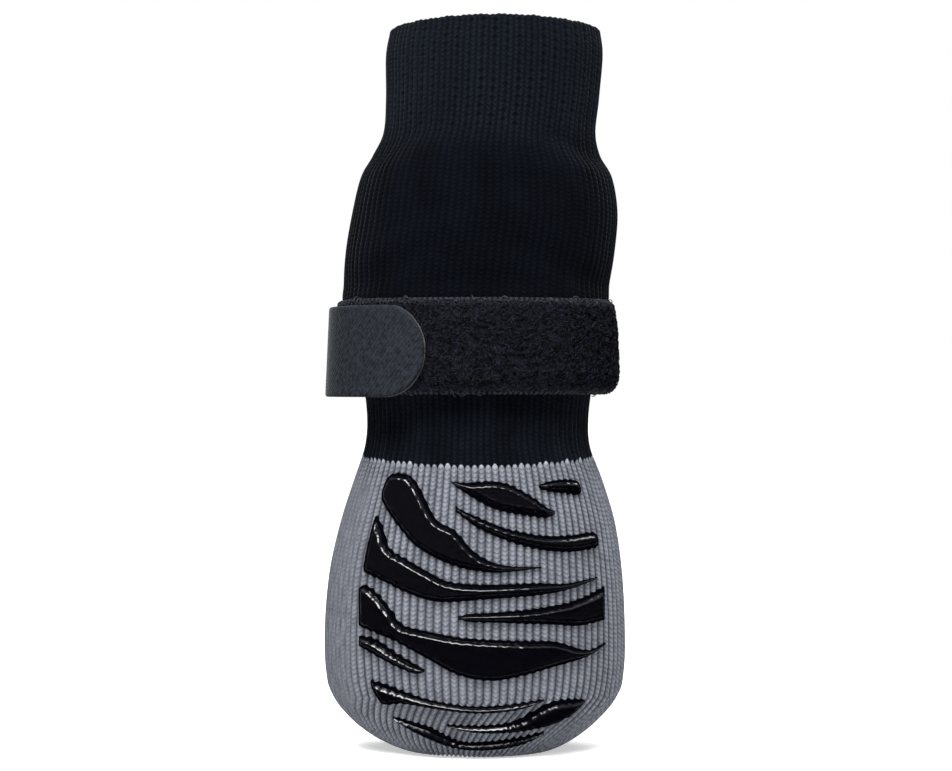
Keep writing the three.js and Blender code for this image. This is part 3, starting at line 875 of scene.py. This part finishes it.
def hook_tape(colours):
    """Woven hook tape seen from its smooth side: charcoal nylon with a fine twill."""
    material, shader, node = new_material("woven_nylon_hook_tape", {
        "Roughness": 0.8, "Specular IOR Level": 0.18, "Sheen Weight": 0.1, "Sheen Roughness": 0.3})
    uv = node("UVMap", uv_map="UVMap")[0]
    place = node("TexCoord")["Object"]
    along, up, _ = node("SeparateXYZ", {0: uv})
    # Twill: raised threads 0.8 mm apart that climb one way, cut by wefts 0.5 mm apart. Real ones are about
    # half as coarse and would not show
    stray = node("TexNoise", {"Vector": place, "Scale": 1 / (1.3 * MM), "Detail": 2})[0]
    shifted = node("Math", {0: stray, 1: 0.9, 2: along}, operation="MULTIPLY_ADD")[0]
    climbing = node("Math", {0: up, 1: 0.7, 2: shifted}, operation="MULTIPLY_ADD")[0]
    twill = node("Math", {0: climbing, 1: 0.4}, operation="PINGPONG")[0]
    weft = node("Math", {0: up, 1: 0.25}, operation="PINGPONG")[0]
    high = node("MapRange", {"Value": twill, "From Max": 0.4}, interpolation_type="SMOOTHSTEP")[0]
    wide = node("MapRange", {"Value": weft, "From Max": 0.25, "To Min": 0.7},
                interpolation_type="SMOOTHSTEP")[0]
    weave = node("Math", {0: high, 1: wide}, operation="MULTIPLY")[0]
    # Rubbed in patches
    wear = node("TexNoise", {"Vector": place, "Scale": 1 / (0.8 * MM), "Detail": 3})[0]
    paler_share = node("MapRange", {"Value": wear, "From Min": 0.3, "From Max": 0.7})[0]
    mixed = node("Math", {0: weave, 1: 0.45, 2: paler_share}, operation="MULTIPLY_ADD")[0]
    share = node("MapRange", {"Value": mixed, "From Min": 0.1, "From Max": 1.15})[0]
    colour = node("Mix", {"Factor": share, 6: opaque(colours.hook_dark), 7: opaque(colours.hook_light)},
                  data_type="RGBA")[2]
    bump = node("Bump", {"Strength": 0.6, "Distance": 0.08 * MM, "Height": weave})[0]
    set_inputs(shader, {"Base Color": colour, "Normal": bump})
    return material


def sewing_thread(colours):
    """Twisted polyester sewing thread, mottled by its twist."""
    material, shader, node = new_material("polyester_thread", {"Roughness": 0.6})
    place = node("TexCoord")["Object"]
    twist = node("TexNoise", {"Vector": place, "Scale": 1 / (0.25 * MM)})[0]
    shade = node("MapRange", {"Value": twist, "To Min": 0.6, "To Max": 1.3})[0]
    colour = node("VectorMath", {0: colours.thread, "Scale": shade}, operation="SCALE")[0]
    set_inputs(shader, {"Base Color": colour})
    return material


class DOGSOCK_OT_knit(bpy.types.Operator):
    """Knits the sock: leg and cuff, ankle and paw, and the inside"""
    bl_idname = "dogsock.knit"
    bl_label = "Knit the sock"

    COLUMNS_PER_WALE = 5
    LOWER_ROWS = 200
    UPPER_ROWS = 150
    RIM_STEPS = 10
    RIM_INSIDE_ROWS = 8
    # The inside starts at this row of the section table, behind the turned rim, and its wales stand in less
    INSIDE_START = 0.8
    INSIDE_FACE = -0.4
    INSIDE_COLUMNS_PER_WALE = 3
    INSIDE_ROWS = 110

    def execute(self, context):
        knit, colours = context.scene.dogsock_knit, context.scene.dogsock_colours
        material = ribbed_knit(knit, colours)
        layers = {
            "knit_paw_and_ankle": self.paw_and_ankle(knit),
            "knit_leg_and_cuff": self.leg_and_cuff(knit),
            "knit_inside": self.inside(knit),
        }
        for name, mesh in layers.items():
            new_piece(name, mesh, material, ["sock_knit"])
        return {"FINISHED"}

    def paw_and_ankle(self, knit):
        """The outside from the toe seam up to the split."""
        rows, lengths = climb(knit)
        up = np.linspace(0, length_at_height(knit, knit.split), self.LOWER_ROWS + 1)
        plain = np.zeros_like(up)
        columns = knit.wales * self.COLUMNS_PER_WALE
        return knit_layer(knit, columns, np.interp(up, lengths, rows), plain, plain + 1, plain, up)

    def leg_and_cuff(self, knit):
        """The outside from the split up to the rim, over it and a little way down the inside."""
        rows, lengths = climb(knit)
        up = np.linspace(length_at_height(knit, knit.split), lengths[-1], self.UPPER_ROWS + 1)
        plain = np.zeros_like(up)
        turn = np.linspace(0, np.pi, self.RIM_STEPS + 1)[1:]
        inside = np.linspace(0, 1, self.RIM_INSIDE_ROWS + 1)[1:]
        over = knit.cuff_wall / 2 * turn
        down = over[-1] + inside * (SECTIONS[0].up - SECTIONS[1].up) * knit.sock_height
        return knit_layer(
            knit, knit.wales * self.COLUMNS_PER_WALE,
            np.concatenate([np.interp(up, lengths, rows), 0 * turn, inside]),
            np.concatenate([plain, -knit.cuff_wall * (1 - np.cos(turn)) / 2, 0 * inside - knit.cuff_wall]),
            np.concatenate([plain + 1, np.cos(turn), 0 * inside - 1]),
            np.concatenate([plain, knit.rim_round * np.sin(turn), 0 * inside]),
            np.concatenate([up, lengths[-1] + over, lengths[-1] + down]),
        )

    def inside(self, knit):
        """The inside from behind the rim down to the toe seam."""
        rows, lengths = climb(knit)
        down = np.linspace(self.INSIDE_START, SEAM_ROW, self.INSIDE_ROWS + 1)
        plain = np.zeros_like(down)
        return knit_layer(
            knit, knit.wales * self.INSIDE_COLUMNS_PER_WALE, down, -wall_at(knit, down),
            plain + self.INSIDE_FACE, plain, np.interp(down, rows[::-1], lengths[::-1]))


def strap_run(knit, angle):
    """How far along the strap's path each angle lies, from the first."""
    return run_along(beside_strap(knit, angle, 0 * angle))


def strap_axes(knit, angle):
    """At points of the strap's path: along it, up, and straight out."""
    start = beside_strap(knit, angle - STEP, 0 * angle)
    along = beside_strap(knit, angle + STEP, 0 * angle) - start
    along /= np.linalg.norm(along, axis=-1, keepdims=True)
    up = np.broadcast_to(-DOWN, along.shape)
    return along, up, np.cross(along, up)


def side_angle(knit, across, side):
    """The angle of the point of the strap's path that is that far across the front or the back."""
    left, right = (reach(knit, name, np.float64(STRAP_ROW)) for name in ("left", "right"))
    turn = math.acos((across - (right - left) / 2) / ((right + left) / 2))
    return turn if side == BACK else 2 * math.pi - turn


def tab_path(knit, strap):
    """Angles along the tab from its tip to its root, and how far from the tip each of them lies."""
    tip, root = side_angle(knit, strap.tab_tip, FRONT), side_angle(knit, strap.tab_root, BACK)
    angle = np.linspace(tip, root, TAB_STEPS)
    return angle, strap_run(knit, angle)


def tab_half(strap, along):
    """Half the tab's width at distances from the tip of its round nose."""
    return strap.tab_width / 2 * round_rise(along / strap.tab_nose)


def tape_outline():
    """The tape's whole cross-section as a closed line, in metres."""
    upper = [(point.out * MM, point.up * MM) for point in TAPE_PROFILE]
    lower = [(out, -up) for out, up in reversed(upper)]
    return np.array(upper + lower)


def curl(up):
    """How far in the band has curled at a height above the tape's middle."""
    below = np.maximum(-up - CURL_START, 0)
    return CURL_RADIUS - np.sqrt(CURL_RADIUS ** 2 - below ** 2)


def pile_face(up):
    """How far out the pile's face is at a height above the tape's middle."""
    face = TAPE_PROFILE[:PILE_START - 1:-1]
    ups, outs = [point.up * MM for point in face], [point.out * MM for point in face]
    return np.interp(np.abs(up), ups, outs) - curl(up)


def tiled(bm, centres, axes):
    """One mesh of copies of a small shape. axes has three rows for each copy: where its x, y and z point."""
    shape = np.array([vert.co for vert in bm.verts])
    bm.verts.index_update()
    faces = [[vert.index for vert in face.verts] for face in bm.faces]
    bm.free()
    points = centres[:, None] + np.einsum("pk,nkx->npx", shape, axes)
    corners = [[n * len(shape) + i for i in face] for n in range(len(centres)) for face in faces]
    mesh = bpy.data.meshes.new("mesh")
    mesh.from_pydata(points.reshape(-1, 3).tolist(), [], corners)
    return mesh


class DOGSOCK_OT_strap_band(bpy.types.Operator):
    """Lays the loop tape round the ankle and fills its pile with loops"""
    bl_idname = "dogsock.strap_band"
    bl_label = "Strap band"

    COLUMNS = 300
    # The tape's face is a little uneven, wherever the tape stands out further than this
    LUMP = 0.07 * MM
    LUMP_FROM = 1.5 * MM
    LOOP_STEPS = 4
    LOOP_SIDES = 3
    # Loops stand up to this far above and below the tape's middle, then stray, but not past its edges
    PILE_HALF = 9.3 * MM
    PILE_STRAY = 0.35 * MM
    PILE_LIMIT = 9.95 * MM
    LOOP_SIZES = (0.75, 1.25)
    LOOP_SINK = 0.02 * MM
    # Loops lean over the tape's edges, from this height above its middle and fully a run further out
    LEAN_START = 7.8 * MM
    LEAN_RUN = 2.2 * MM
    EDGE_LEAN = math.radians(60)
    SEED = 11

    def execute(self, context):
        scene = context.scene
        knit, strap, colours = scene.dogsock_knit, scene.dogsock_strap, scene.dogsock_colours
        back = reach(knit, "back", np.float64(STRAP_ROW))
        angle = np.linspace(math.pi, 3 * math.pi - math.asin(strap.slit / back), self.COLUMNS + 1)
        run = strap_run(knit, angle)
        tape, pile = self.tape(knit, strap, angle, run), self.pile(knit, strap, angle, run)
        new_piece("strap_loop_tape", tape, loop_tape(colours), ["strap_band"])
        new_piece("strap_pile_loops", pile, loop_fibre(strap, colours), ["strap_band"])
        return {"FINISHED"}

    def tape(self, knit, strap, angle, run):
        """The tape's cross-section, carried round the ankle and closed at both ends."""
        outline = tape_outline()
        out, up = (np.repeat(side[:, None], len(angle), 1) for side in outline.T)
        along, above = np.broadcast_to(run / MM, up.shape), up / MM
        lump = np.sin(along * 0.83) * np.sin(above * 0.7 + along * 0.31) + np.sin(along * 1.9 + above)
        out = out + np.where(out > self.LUMP_FROM, self.LUMP * lump, 0) - curl(up)
        points = beside_strap(knit, np.broadcast_to(angle, up.shape), out, strap.height + up)
        bm = unit_grid(up.shape)
        lay(bm, bm.verts, points, np.stack([along, above], -1))
        weld(bm)
        bmesh.ops.holes_fill(bm, edges=[edge for edge in bm.edges if edge.is_boundary], sides=0)
        bmesh.ops.recalc_face_normals(bm, faces=bm.faces)
        return mesh_of(bm)

    def pile(self, knit, strap, angle, run):
        """Loops strewn over the tape's face, outside the tab."""
        chance = np.random.default_rng(self.SEED)
        place = np.interp(chance.uniform(0, run[-1], strap.loops), run, angle)
        height = chance.uniform(-self.PILE_HALF, self.PILE_HALF, strap.loops)
        height = height + chance.normal(0, self.PILE_STRAY, strap.loops)
        height = height.clip(-self.PILE_LIMIT, self.PILE_LIMIT)
        shown = ~self.under_tab(knit, strap, place, height)
        place, height = place[shown], height[shown]
        centres = beside_strap(knit, place, pile_face(height) - self.LOOP_SINK, strap.height + height)
        along, upward, outward = strap_axes(knit, place)
        past = np.clip((np.abs(height) - self.LEAN_START) / self.LEAN_RUN, 0, 1)
        lean = (np.sign(height) * self.EDGE_LEAN * past)[:, None]
        upward, outward = (
            np.cos(lean) * upward - np.sin(lean) * outward, np.cos(lean) * outward + np.sin(lean) * upward)
        turn = chance.uniform(0, math.pi, len(place))[:, None]
        size = chance.uniform(*self.LOOP_SIZES, len(place))[:, None]
        across = np.cos(turn) * along + np.sin(turn) * upward
        axes = np.stack([across * size, np.cross(outward, across), outward * size], 1)
        return tiled(self.loop(strap), centres, axes)

    def under_tab(self, knit, strap, place, height):
        """Which points of the band the tab covers."""
        angle, run = tab_path(knit, strap)
        # The band goes on past the middle of the back, where the tab's angles are a full turn less
        turn = np.where(place > 2.5 * math.pi, place - 2 * math.pi, place)
        from_tip = np.interp(turn, angle[::-1], run[::-1], left=0, right=0)
        off = np.abs(height + strap.height - strap.tab_height)
        return off < tab_half(strap, from_tip)

    def loop(self, strap):
        """One arch of yarn, a thin tube with few sides."""
        turn = np.linspace(0, math.pi, self.LOOP_STEPS + 1)[:, None]
        side = np.linspace(0, 2 * math.pi, self.LOOP_SIDES + 1)[None]
        width = strap.loop_width / 2 + strap.fibre / 2 * np.cos(side)
        height = strap.loop_height + strap.fibre / 2 * np.cos(side)
        thick = strap.fibre / 2 * np.sin(side) + 0 * turn
        points = np.stack([-width * np.cos(turn), thick, height * np.sin(turn)], -1)
        bm = unit_grid(points.shape)
        lay(bm, bm.verts, points, points[..., :2])
        weld(bm)
        bmesh.ops.recalc_face_normals(bm, faces=bm.faces)
        return bm


class DOGSOCK_OT_strap_tab(bpy.types.Operator):
    """Cuts the hook tab, wraps it round the left side and sews it down"""
    bl_idname = "dogsock.strap_tab"
    bl_label = "Strap tab"

    COLUMNS = 220
    ROWS = 26
    # How much closer the columns are at the round nose
    CROWDING = 0.65
    # The tab's face is round for this far from its edge, which has a share of the full thickness
    RIM = 0.55 * MM
    EDGE_SHARE = 0.5
    STITCH_LENGTH = 2.1 * MM
    STITCH_GAP = 0.3 * MM
    STITCH_WIDTH = 0.36 * MM
    # Seams lie this far from the tab's root, and bar tacks this far from the middle of the back
    ROOT_SEAMS = (1.6 * MM, 4.2 * MM)
    SEAM_STITCHES = 8
    TACKS = (-3 * MM, 3 * MM)
    TACK_STITCHES = 18
    TACK_HALF = 6 * MM
    TACK_LIFT = 0.34 * MM
    TACK_WIDTH = 1.7 * MM
    TACK_STITCH_WIDTH = 1.6 * STITCH_WIDTH

    def execute(self, context):
        scene = context.scene
        knit, strap, colours = scene.dogsock_knit, scene.dogsock_strap, scene.dogsock_colours
        thread = sewing_thread(colours)
        new_piece("strap_hook_tab", self.tab(knit, strap), hook_tape(colours), ["strap_tab"])
        new_piece("strap_tab_seams", self.root_seams(knit, strap), thread, ["strap_tab"])
        new_piece("strap_bar_tacks", self.bar_tacks(knit, strap), thread, ["strap_band"])
        return {"FINISHED"}

    def tab(self, knit, strap):
        """A flat piece of tape with a round nose and a rounded edge, bent round the side."""
        path, run = tab_path(knit, strap)
        share = np.linspace(0, 1, self.COLUMNS + 1)
        along = run[-1] * ((1 - self.CROWDING) * share + self.CROWDING * share ** 2)
        half = tab_half(strap, along)
        up = -np.cos(np.linspace(0, math.pi, self.ROWS + 1))[:, None] * half
        inward = np.minimum(half - np.abs(up), np.minimum(along, run[-1] - along))
        thick = self.EDGE_SHARE + (1 - self.EDGE_SHARE) * round_rise(inward / self.RIM)
        angle = np.broadcast_to(np.interp(along, run, path), up.shape)
        face = strap.tab_seat + strap.tab_thickness * thick
        hooks = np.full_like(up, strap.tab_seat - strap.tab_hooks)
        top, base = (beside_strap(knit, angle, out, strap.tab_height + up) for out in (face, hooks))
        uvs = np.stack([np.broadcast_to(along, up.shape), up], -1) / MM
        return mesh_of(raised_patch(top, base, uvs))

    def root_seams(self, knit, strap):
        """Two seams across the tab at its root."""
        path, run = tab_path(knit, strap)
        seams = [np.interp(run[-1] - seam, run, path) for seam in self.ROOT_SEAMS]
        pitch = self.STITCH_LENGTH + self.STITCH_GAP
        ups = (np.arange(self.SEAM_STITCHES) - (self.SEAM_STITCHES - 1) / 2) * pitch
        place, height = (grid.ravel() for grid in np.meshgrid(seams, ups))
        out = np.full_like(place, strap.tab_seat + strap.tab_thickness)
        centres = beside_strap(knit, place, out, strap.tab_height + height)
        return self.stitches(knit, place, centres, self.STITCH_WIDTH, self.STITCH_LENGTH)

    def bar_tacks(self, knit, strap):
        """Two bar tacks that hold the band at the middle of the back."""
        tacks = [side_angle(knit, across, BACK) for across in self.TACKS]
        ups = np.linspace(-self.TACK_HALF, self.TACK_HALF, self.TACK_STITCHES)
        place, height = (grid.ravel() for grid in np.meshgrid(tacks, ups))
        centres = beside_strap(knit, place, pile_face(height) + self.TACK_LIFT, strap.height + height)
        return self.stitches(knit, place, centres, self.TACK_WIDTH, self.TACK_STITCH_WIDTH)

    def stitches(self, knit, place, centres, width, height):
        """Stitches as small rounds, that wide along the strap and that high."""
        bm = bmesh.new()
        bmesh.ops.create_uvsphere(bm, u_segments=8, v_segments=5, radius=0.5)
        along, up, outward = strap_axes(knit, place)
        return tiled(bm, centres, np.stack([along * width, up * height, outward * self.STITCH_WIDTH], 1))


class DOGSOCK_OT_grips(bpy.types.Operator):
    """Prints the silicone stripes on the front of the paw"""
    bl_idname = "dogsock.grips"
    bl_label = "Silicone grips"

    COLUMNS_PER_STATION = 14
    ROWS = 34
    PLACE_STEPS = 400
    # The least width of a stripe, and the least share of the rim that a narrow one keeps
    THINNEST = 0.15 * MM
    NARROWEST = 0.02
    # The wales wave a stripe's edge fully where it is this wide, and by at least this share elsewhere
    WAVED_WIDTH = 2 * MM
    LEAST_WAVE = 0.2
    # Silicone gathers in a lip: its height, and as shares of the rim its place and half-width
    LIP = 0.25 * MM
    LIP_PLACE = 0.85
    LIP_WIDTH = 0.2
    # How wide the skirt is and over what its wall rises, as shares of the rim, and its share of the height
    SKIRT_WIDTH = 0.42
    SKIRT_WALL = 0.12
    SKIRT_HEIGHT = 0.36
    # Shares of the rim between which the print goes from matt to glossy
    GLOSS = (0.4, 0.62)

    def execute(self, context):
        scene = context.scene
        knit, grips, colours = scene.dogsock_knit, scene.dogsock_grips, scene.dogsock_colours
        material = silicone_print(colours)
        for node, stations in GRIPS.items():
            print_name = node.replace("grip", "print")
            mesh = mesh_of(self.stripe(knit, grips, stations))
            new_piece(print_name, mesh, material, [node])
        return {"FINISHED"}

    def stripe(self, knit, grips, stations):
        """One stripe as a closed solid that has soaked into the knit."""
        at = np.linspace(0, len(stations) - 1, (len(stations) - 1) * self.COLUMNS_PER_STATION + 1)
        across, low, high = (spline(values, at) * MM for values in zip(*stations))
        high = np.maximum(high, low + self.THINNEST)
        low, high = self.waved(knit, grips, across, low, high)
        spread = (0.5 - 0.5 * np.cos(np.linspace(0, math.pi, self.ROWS + 1)))[:, None]
        up = low + spread * (high - low)
        side = np.broadcast_to(across, up.shape)
        # A narrow stripe has a narrow rim and is thinner
        narrow = np.clip((high - low) / 2 / grips.rim, self.NARROWEST, 1)
        thick = np.sqrt(narrow)
        share = np.clip(self.edge_distance(side, up) / (grips.rim * narrow), 0, 1)
        rise = grips.height * thick * self.profile(share)
        lip = self.LIP * thick * np.exp(-((share - self.LIP_PLACE) / self.LIP_WIDTH) ** 2)
        ripple = grips.ripple * self.ridge(knit, side, up) * share
        angle, row = self.place(knit, side, up)
        top = skin(knit, angle, row, rise + lip + ripple)
        base = skin(knit, angle, row, np.full_like(rise, -grips.sink))
        marks = {"gloss": smooth_step(*self.GLOSS, share)}
        return raised_patch(top, base, np.stack([side, up], -1) / MM, marks)

    def waved(self, knit, grips, across, low, high):
        """A stripe's edges as the wales beneath wave them, more in some stretches than in others."""
        uneven = 0.55 + 0.45 * np.sin(across / MM * 0.8 + 2 * np.sin(across / MM * 0.31))
        wave = grips.scallop * uneven * np.clip((high - low) / self.WAVED_WIDTH, self.LEAST_WAVE, 1)
        return low + wave * self.ridge(knit, across, low), high - wave * self.ridge(knit, across, high)

    def profile(self, share):
        """Height of the print at a share of its rim: a low skirt in the knit, then a round shoulder."""
        shoulder = round_rise((share - self.SKIRT_WIDTH) / (1 - self.SKIRT_WIDTH))
        skirt = smooth_step(0, self.SKIRT_WALL, share)
        return self.SKIRT_HEIGHT * skirt + (1 - self.SKIRT_HEIGHT) * shoulder

    def place(self, knit, across, up):
        """Angles and rows of the points of the front that lie there in a view from the front."""
        rows = np.linspace(SOLE_ROW, ANKLE_ROW, self.PLACE_STEPS)
        row = np.interp(up, column("up", rows) * knit.sock_height, rows)
        left, right = reach(knit, "left", row), reach(knit, "right", row)
        turn = np.clip((across - (right - left) / 2) / ((right + left) / 2), -1, 1)
        return 2 * np.pi - np.arccos(turn), row

    def ridge(self, knit, across, up):
        """1 on the wales under those points and -1 between them."""
        angle, row = self.place(knit, across, up)
        return -np.cos(2 * np.pi * knit.wales * front_share(knit, angle, row))

    def edge_distance(self, across, up):
        """Distance of each point from the stripe's outline."""
        grid = np.stack([across, up], -1)
        line = np.concatenate([grid[0], grid[1:, -1], grid[-1, -2::-1], grid[-2:0:-1, 0]])
        line = np.concatenate([line, (line + np.roll(line, -1, 0)) / 2])
        return np.sqrt(((grid[:, :, None] - line) ** 2).sum(-1).min(-1))


class DOGSOCK_OT_stage(bpy.types.Operator):
    """Sets the floor, the soft light and the camera"""
    bl_idname = "dogsock.stage"
    bl_label = "Stage"

    SENSOR = 36
    NEAREST = 10 * MM
    FLOOR_GLOW = 0.5
    SUN_STRENGTH = 2.05
    SUN_SPREAD = math.radians(40)
    SUN_TURN = (math.radians(30), 0, math.radians(-8))
    # Where each softbox hangs, its width and depth, all in metres, its power in watts, and the point that
    # both of them face
    SOFTBOXES = (
        ((-0.08, -0.4, 0.62), 0.55, 0.24, 8.5),
        ((0.05, 0.4, 0.6), 0.6, 0.4, 4.0),
    )
    SOFTBOX_AIM = Vector((0, 0, 60 * MM))

    def execute(self, context):
        scene, stage = context.scene, context.scene.dogsock_stage
        scene.view_settings.view_transform = "Standard"
        self.floor(scene, stage)
        self.surround(scene)
        self.lights(scene)
        camera = bpy.data.cameras.new("camera")
        camera.lens = stage.lens
        camera.sensor_width = self.SENSOR
        camera.sensor_fit = "HORIZONTAL"
        camera.clip_start = self.NEAREST
        holder = bpy.data.objects.new("camera", camera)
        holder.location = (0, -stage.distance, stage.eye)
        holder.rotation_euler = (math.pi / 2, 0, 0)
        scene.collection.objects.link(holder)
        scene.camera = holder
        return {"FINISHED"}

    def floor(self, scene, stage):
        """A wide pale floor."""
        bm = bmesh.new()
        bmesh.ops.create_grid(bm, x_segments=1, y_segments=1, size=stage.floor_side / 2)
        mesh = mesh_of(bm)
        # Translucent white acrylic lit from beneath: its glow keeps the contact shadow pale
        material = new_material("pale_lit_acrylic_floor", {
            "Base Color": opaque(stage.floor), "Roughness": 0.55, "Specular IOR Level": 0.0,
            "Emission Color": (1, 1, 1, 1), "Emission Strength": self.FLOOR_GLOW})[0]
        mesh.materials.append(material)
        floor = bpy.data.objects.new("floor", mesh)
        scene.collection.objects.link(floor)
        # Gloss on the object shows the studio's dark surround and not the floor
        floor.visible_glossy = False

    def surround(self, scene):
        """Bright above and dim round about, so that gloss shows on the upper edges."""
        world = bpy.data.worlds.new("studio")
        world.use_nodes = True
        node = partial(add_node, world.node_tree)
        direction = node("TexCoord")["Generated"]
        up = node("SeparateXYZ", {0: direction})[2]
        sky = node("MapRange", {"Value": up, "From Min": 0.4, "From Max": 0.95,
                                "To Min": 0.08, "To Max": 1.0})[0]
        above = node("MapRange", {"Value": up, "From Min": -0.15, "From Max": 0.1})[0]
        glow = node("Math", {0: sky, 1: above}, operation="MULTIPLY")[0]
        seen = node("LightPath")["Is Camera Ray"]
        strength = node("Mix", {"Factor": seen, 2: glow, 3: 1.0})[0]
        set_inputs(world.node_tree.nodes["Background"], {"Color": (1, 1, 1, 1), "Strength": strength})
        scene.world = world

    def lights(self, scene):
        """A wide sun and the softboxes."""
        sun = bpy.data.lights.new("soft_sun", "SUN")
        sun.energy = self.SUN_STRENGTH
        sun.angle = self.SUN_SPREAD
        holder = bpy.data.objects.new("soft_sun", sun)
        holder.rotation_euler = self.SUN_TURN
        scene.collection.objects.link(holder)
        for place, width, depth, power in self.SOFTBOXES:
            box = bpy.data.lights.new("softbox", "AREA")
            box.energy = power
            box.shape = "RECTANGLE"
            box.size = width
            box.size_y = depth
            holder = bpy.data.objects.new("softbox", box)
            holder.location = place
            holder.rotation_euler = (self.SOFTBOX_AIM - holder.location).to_track_quat("-Z", "Y").to_euler()
            scene.collection.objects.link(holder)


class DOGSOCK_PT_panel(bpy.types.Panel):
    """Lists the operators that make the sock, and its sizes and colours"""
    bl_idname = "DOGSOCK_PT_panel"
    bl_label = "Dog sock"
    bl_space_type = "VIEW_3D"
    bl_region_type = "UI"
    bl_category = "Dog sock"

    def draw(self, context):
        for operator in OPERATORS:
            self.layout.operator(operator.bl_idname)
        for name in SETTINGS:
            group = getattr(context.scene, name)
            self.layout.label(text=name)
            for item in group.__annotations__:
                self.layout.prop(group, item)


SETTINGS = {
    "dogsock_knit": KnitSettings,
    "dogsock_strap": StrapSettings,
    "dogsock_grips": GripSettings,
    "dogsock_colours": SockColours,
    "dogsock_stage": StageSettings,
}
OPERATORS = (
    DOGSOCK_OT_knit,
    DOGSOCK_OT_strap_band,
    DOGSOCK_OT_strap_tab,
    DOGSOCK_OT_grips,
    DOGSOCK_OT_stage,
)


def register():
    for name, group in SETTINGS.items():
        bpy.utils.register_class(group)
        setattr(bpy.types.Scene, name, bpy.props.PointerProperty(type=group))
    for item in (*OPERATORS, DOGSOCK_PT_panel):
        bpy.utils.register_class(item)


def unregister():
    for item in (DOGSOCK_PT_panel, *reversed(OPERATORS)):
        bpy.utils.unregister_class(item)
    for name, group in SETTINGS.items():
        delattr(bpy.types.Scene, name)
        bpy.utils.unregister_class(group)


def main():
    register()
    bpy.ops.dogsock.knit()
    bpy.ops.dogsock.strap_band()
    bpy.ops.dogsock.strap_tab()
    bpy.ops.dogsock.grips()
    bpy.ops.dogsock.stage()


if __name__ == "__main__":
    main()
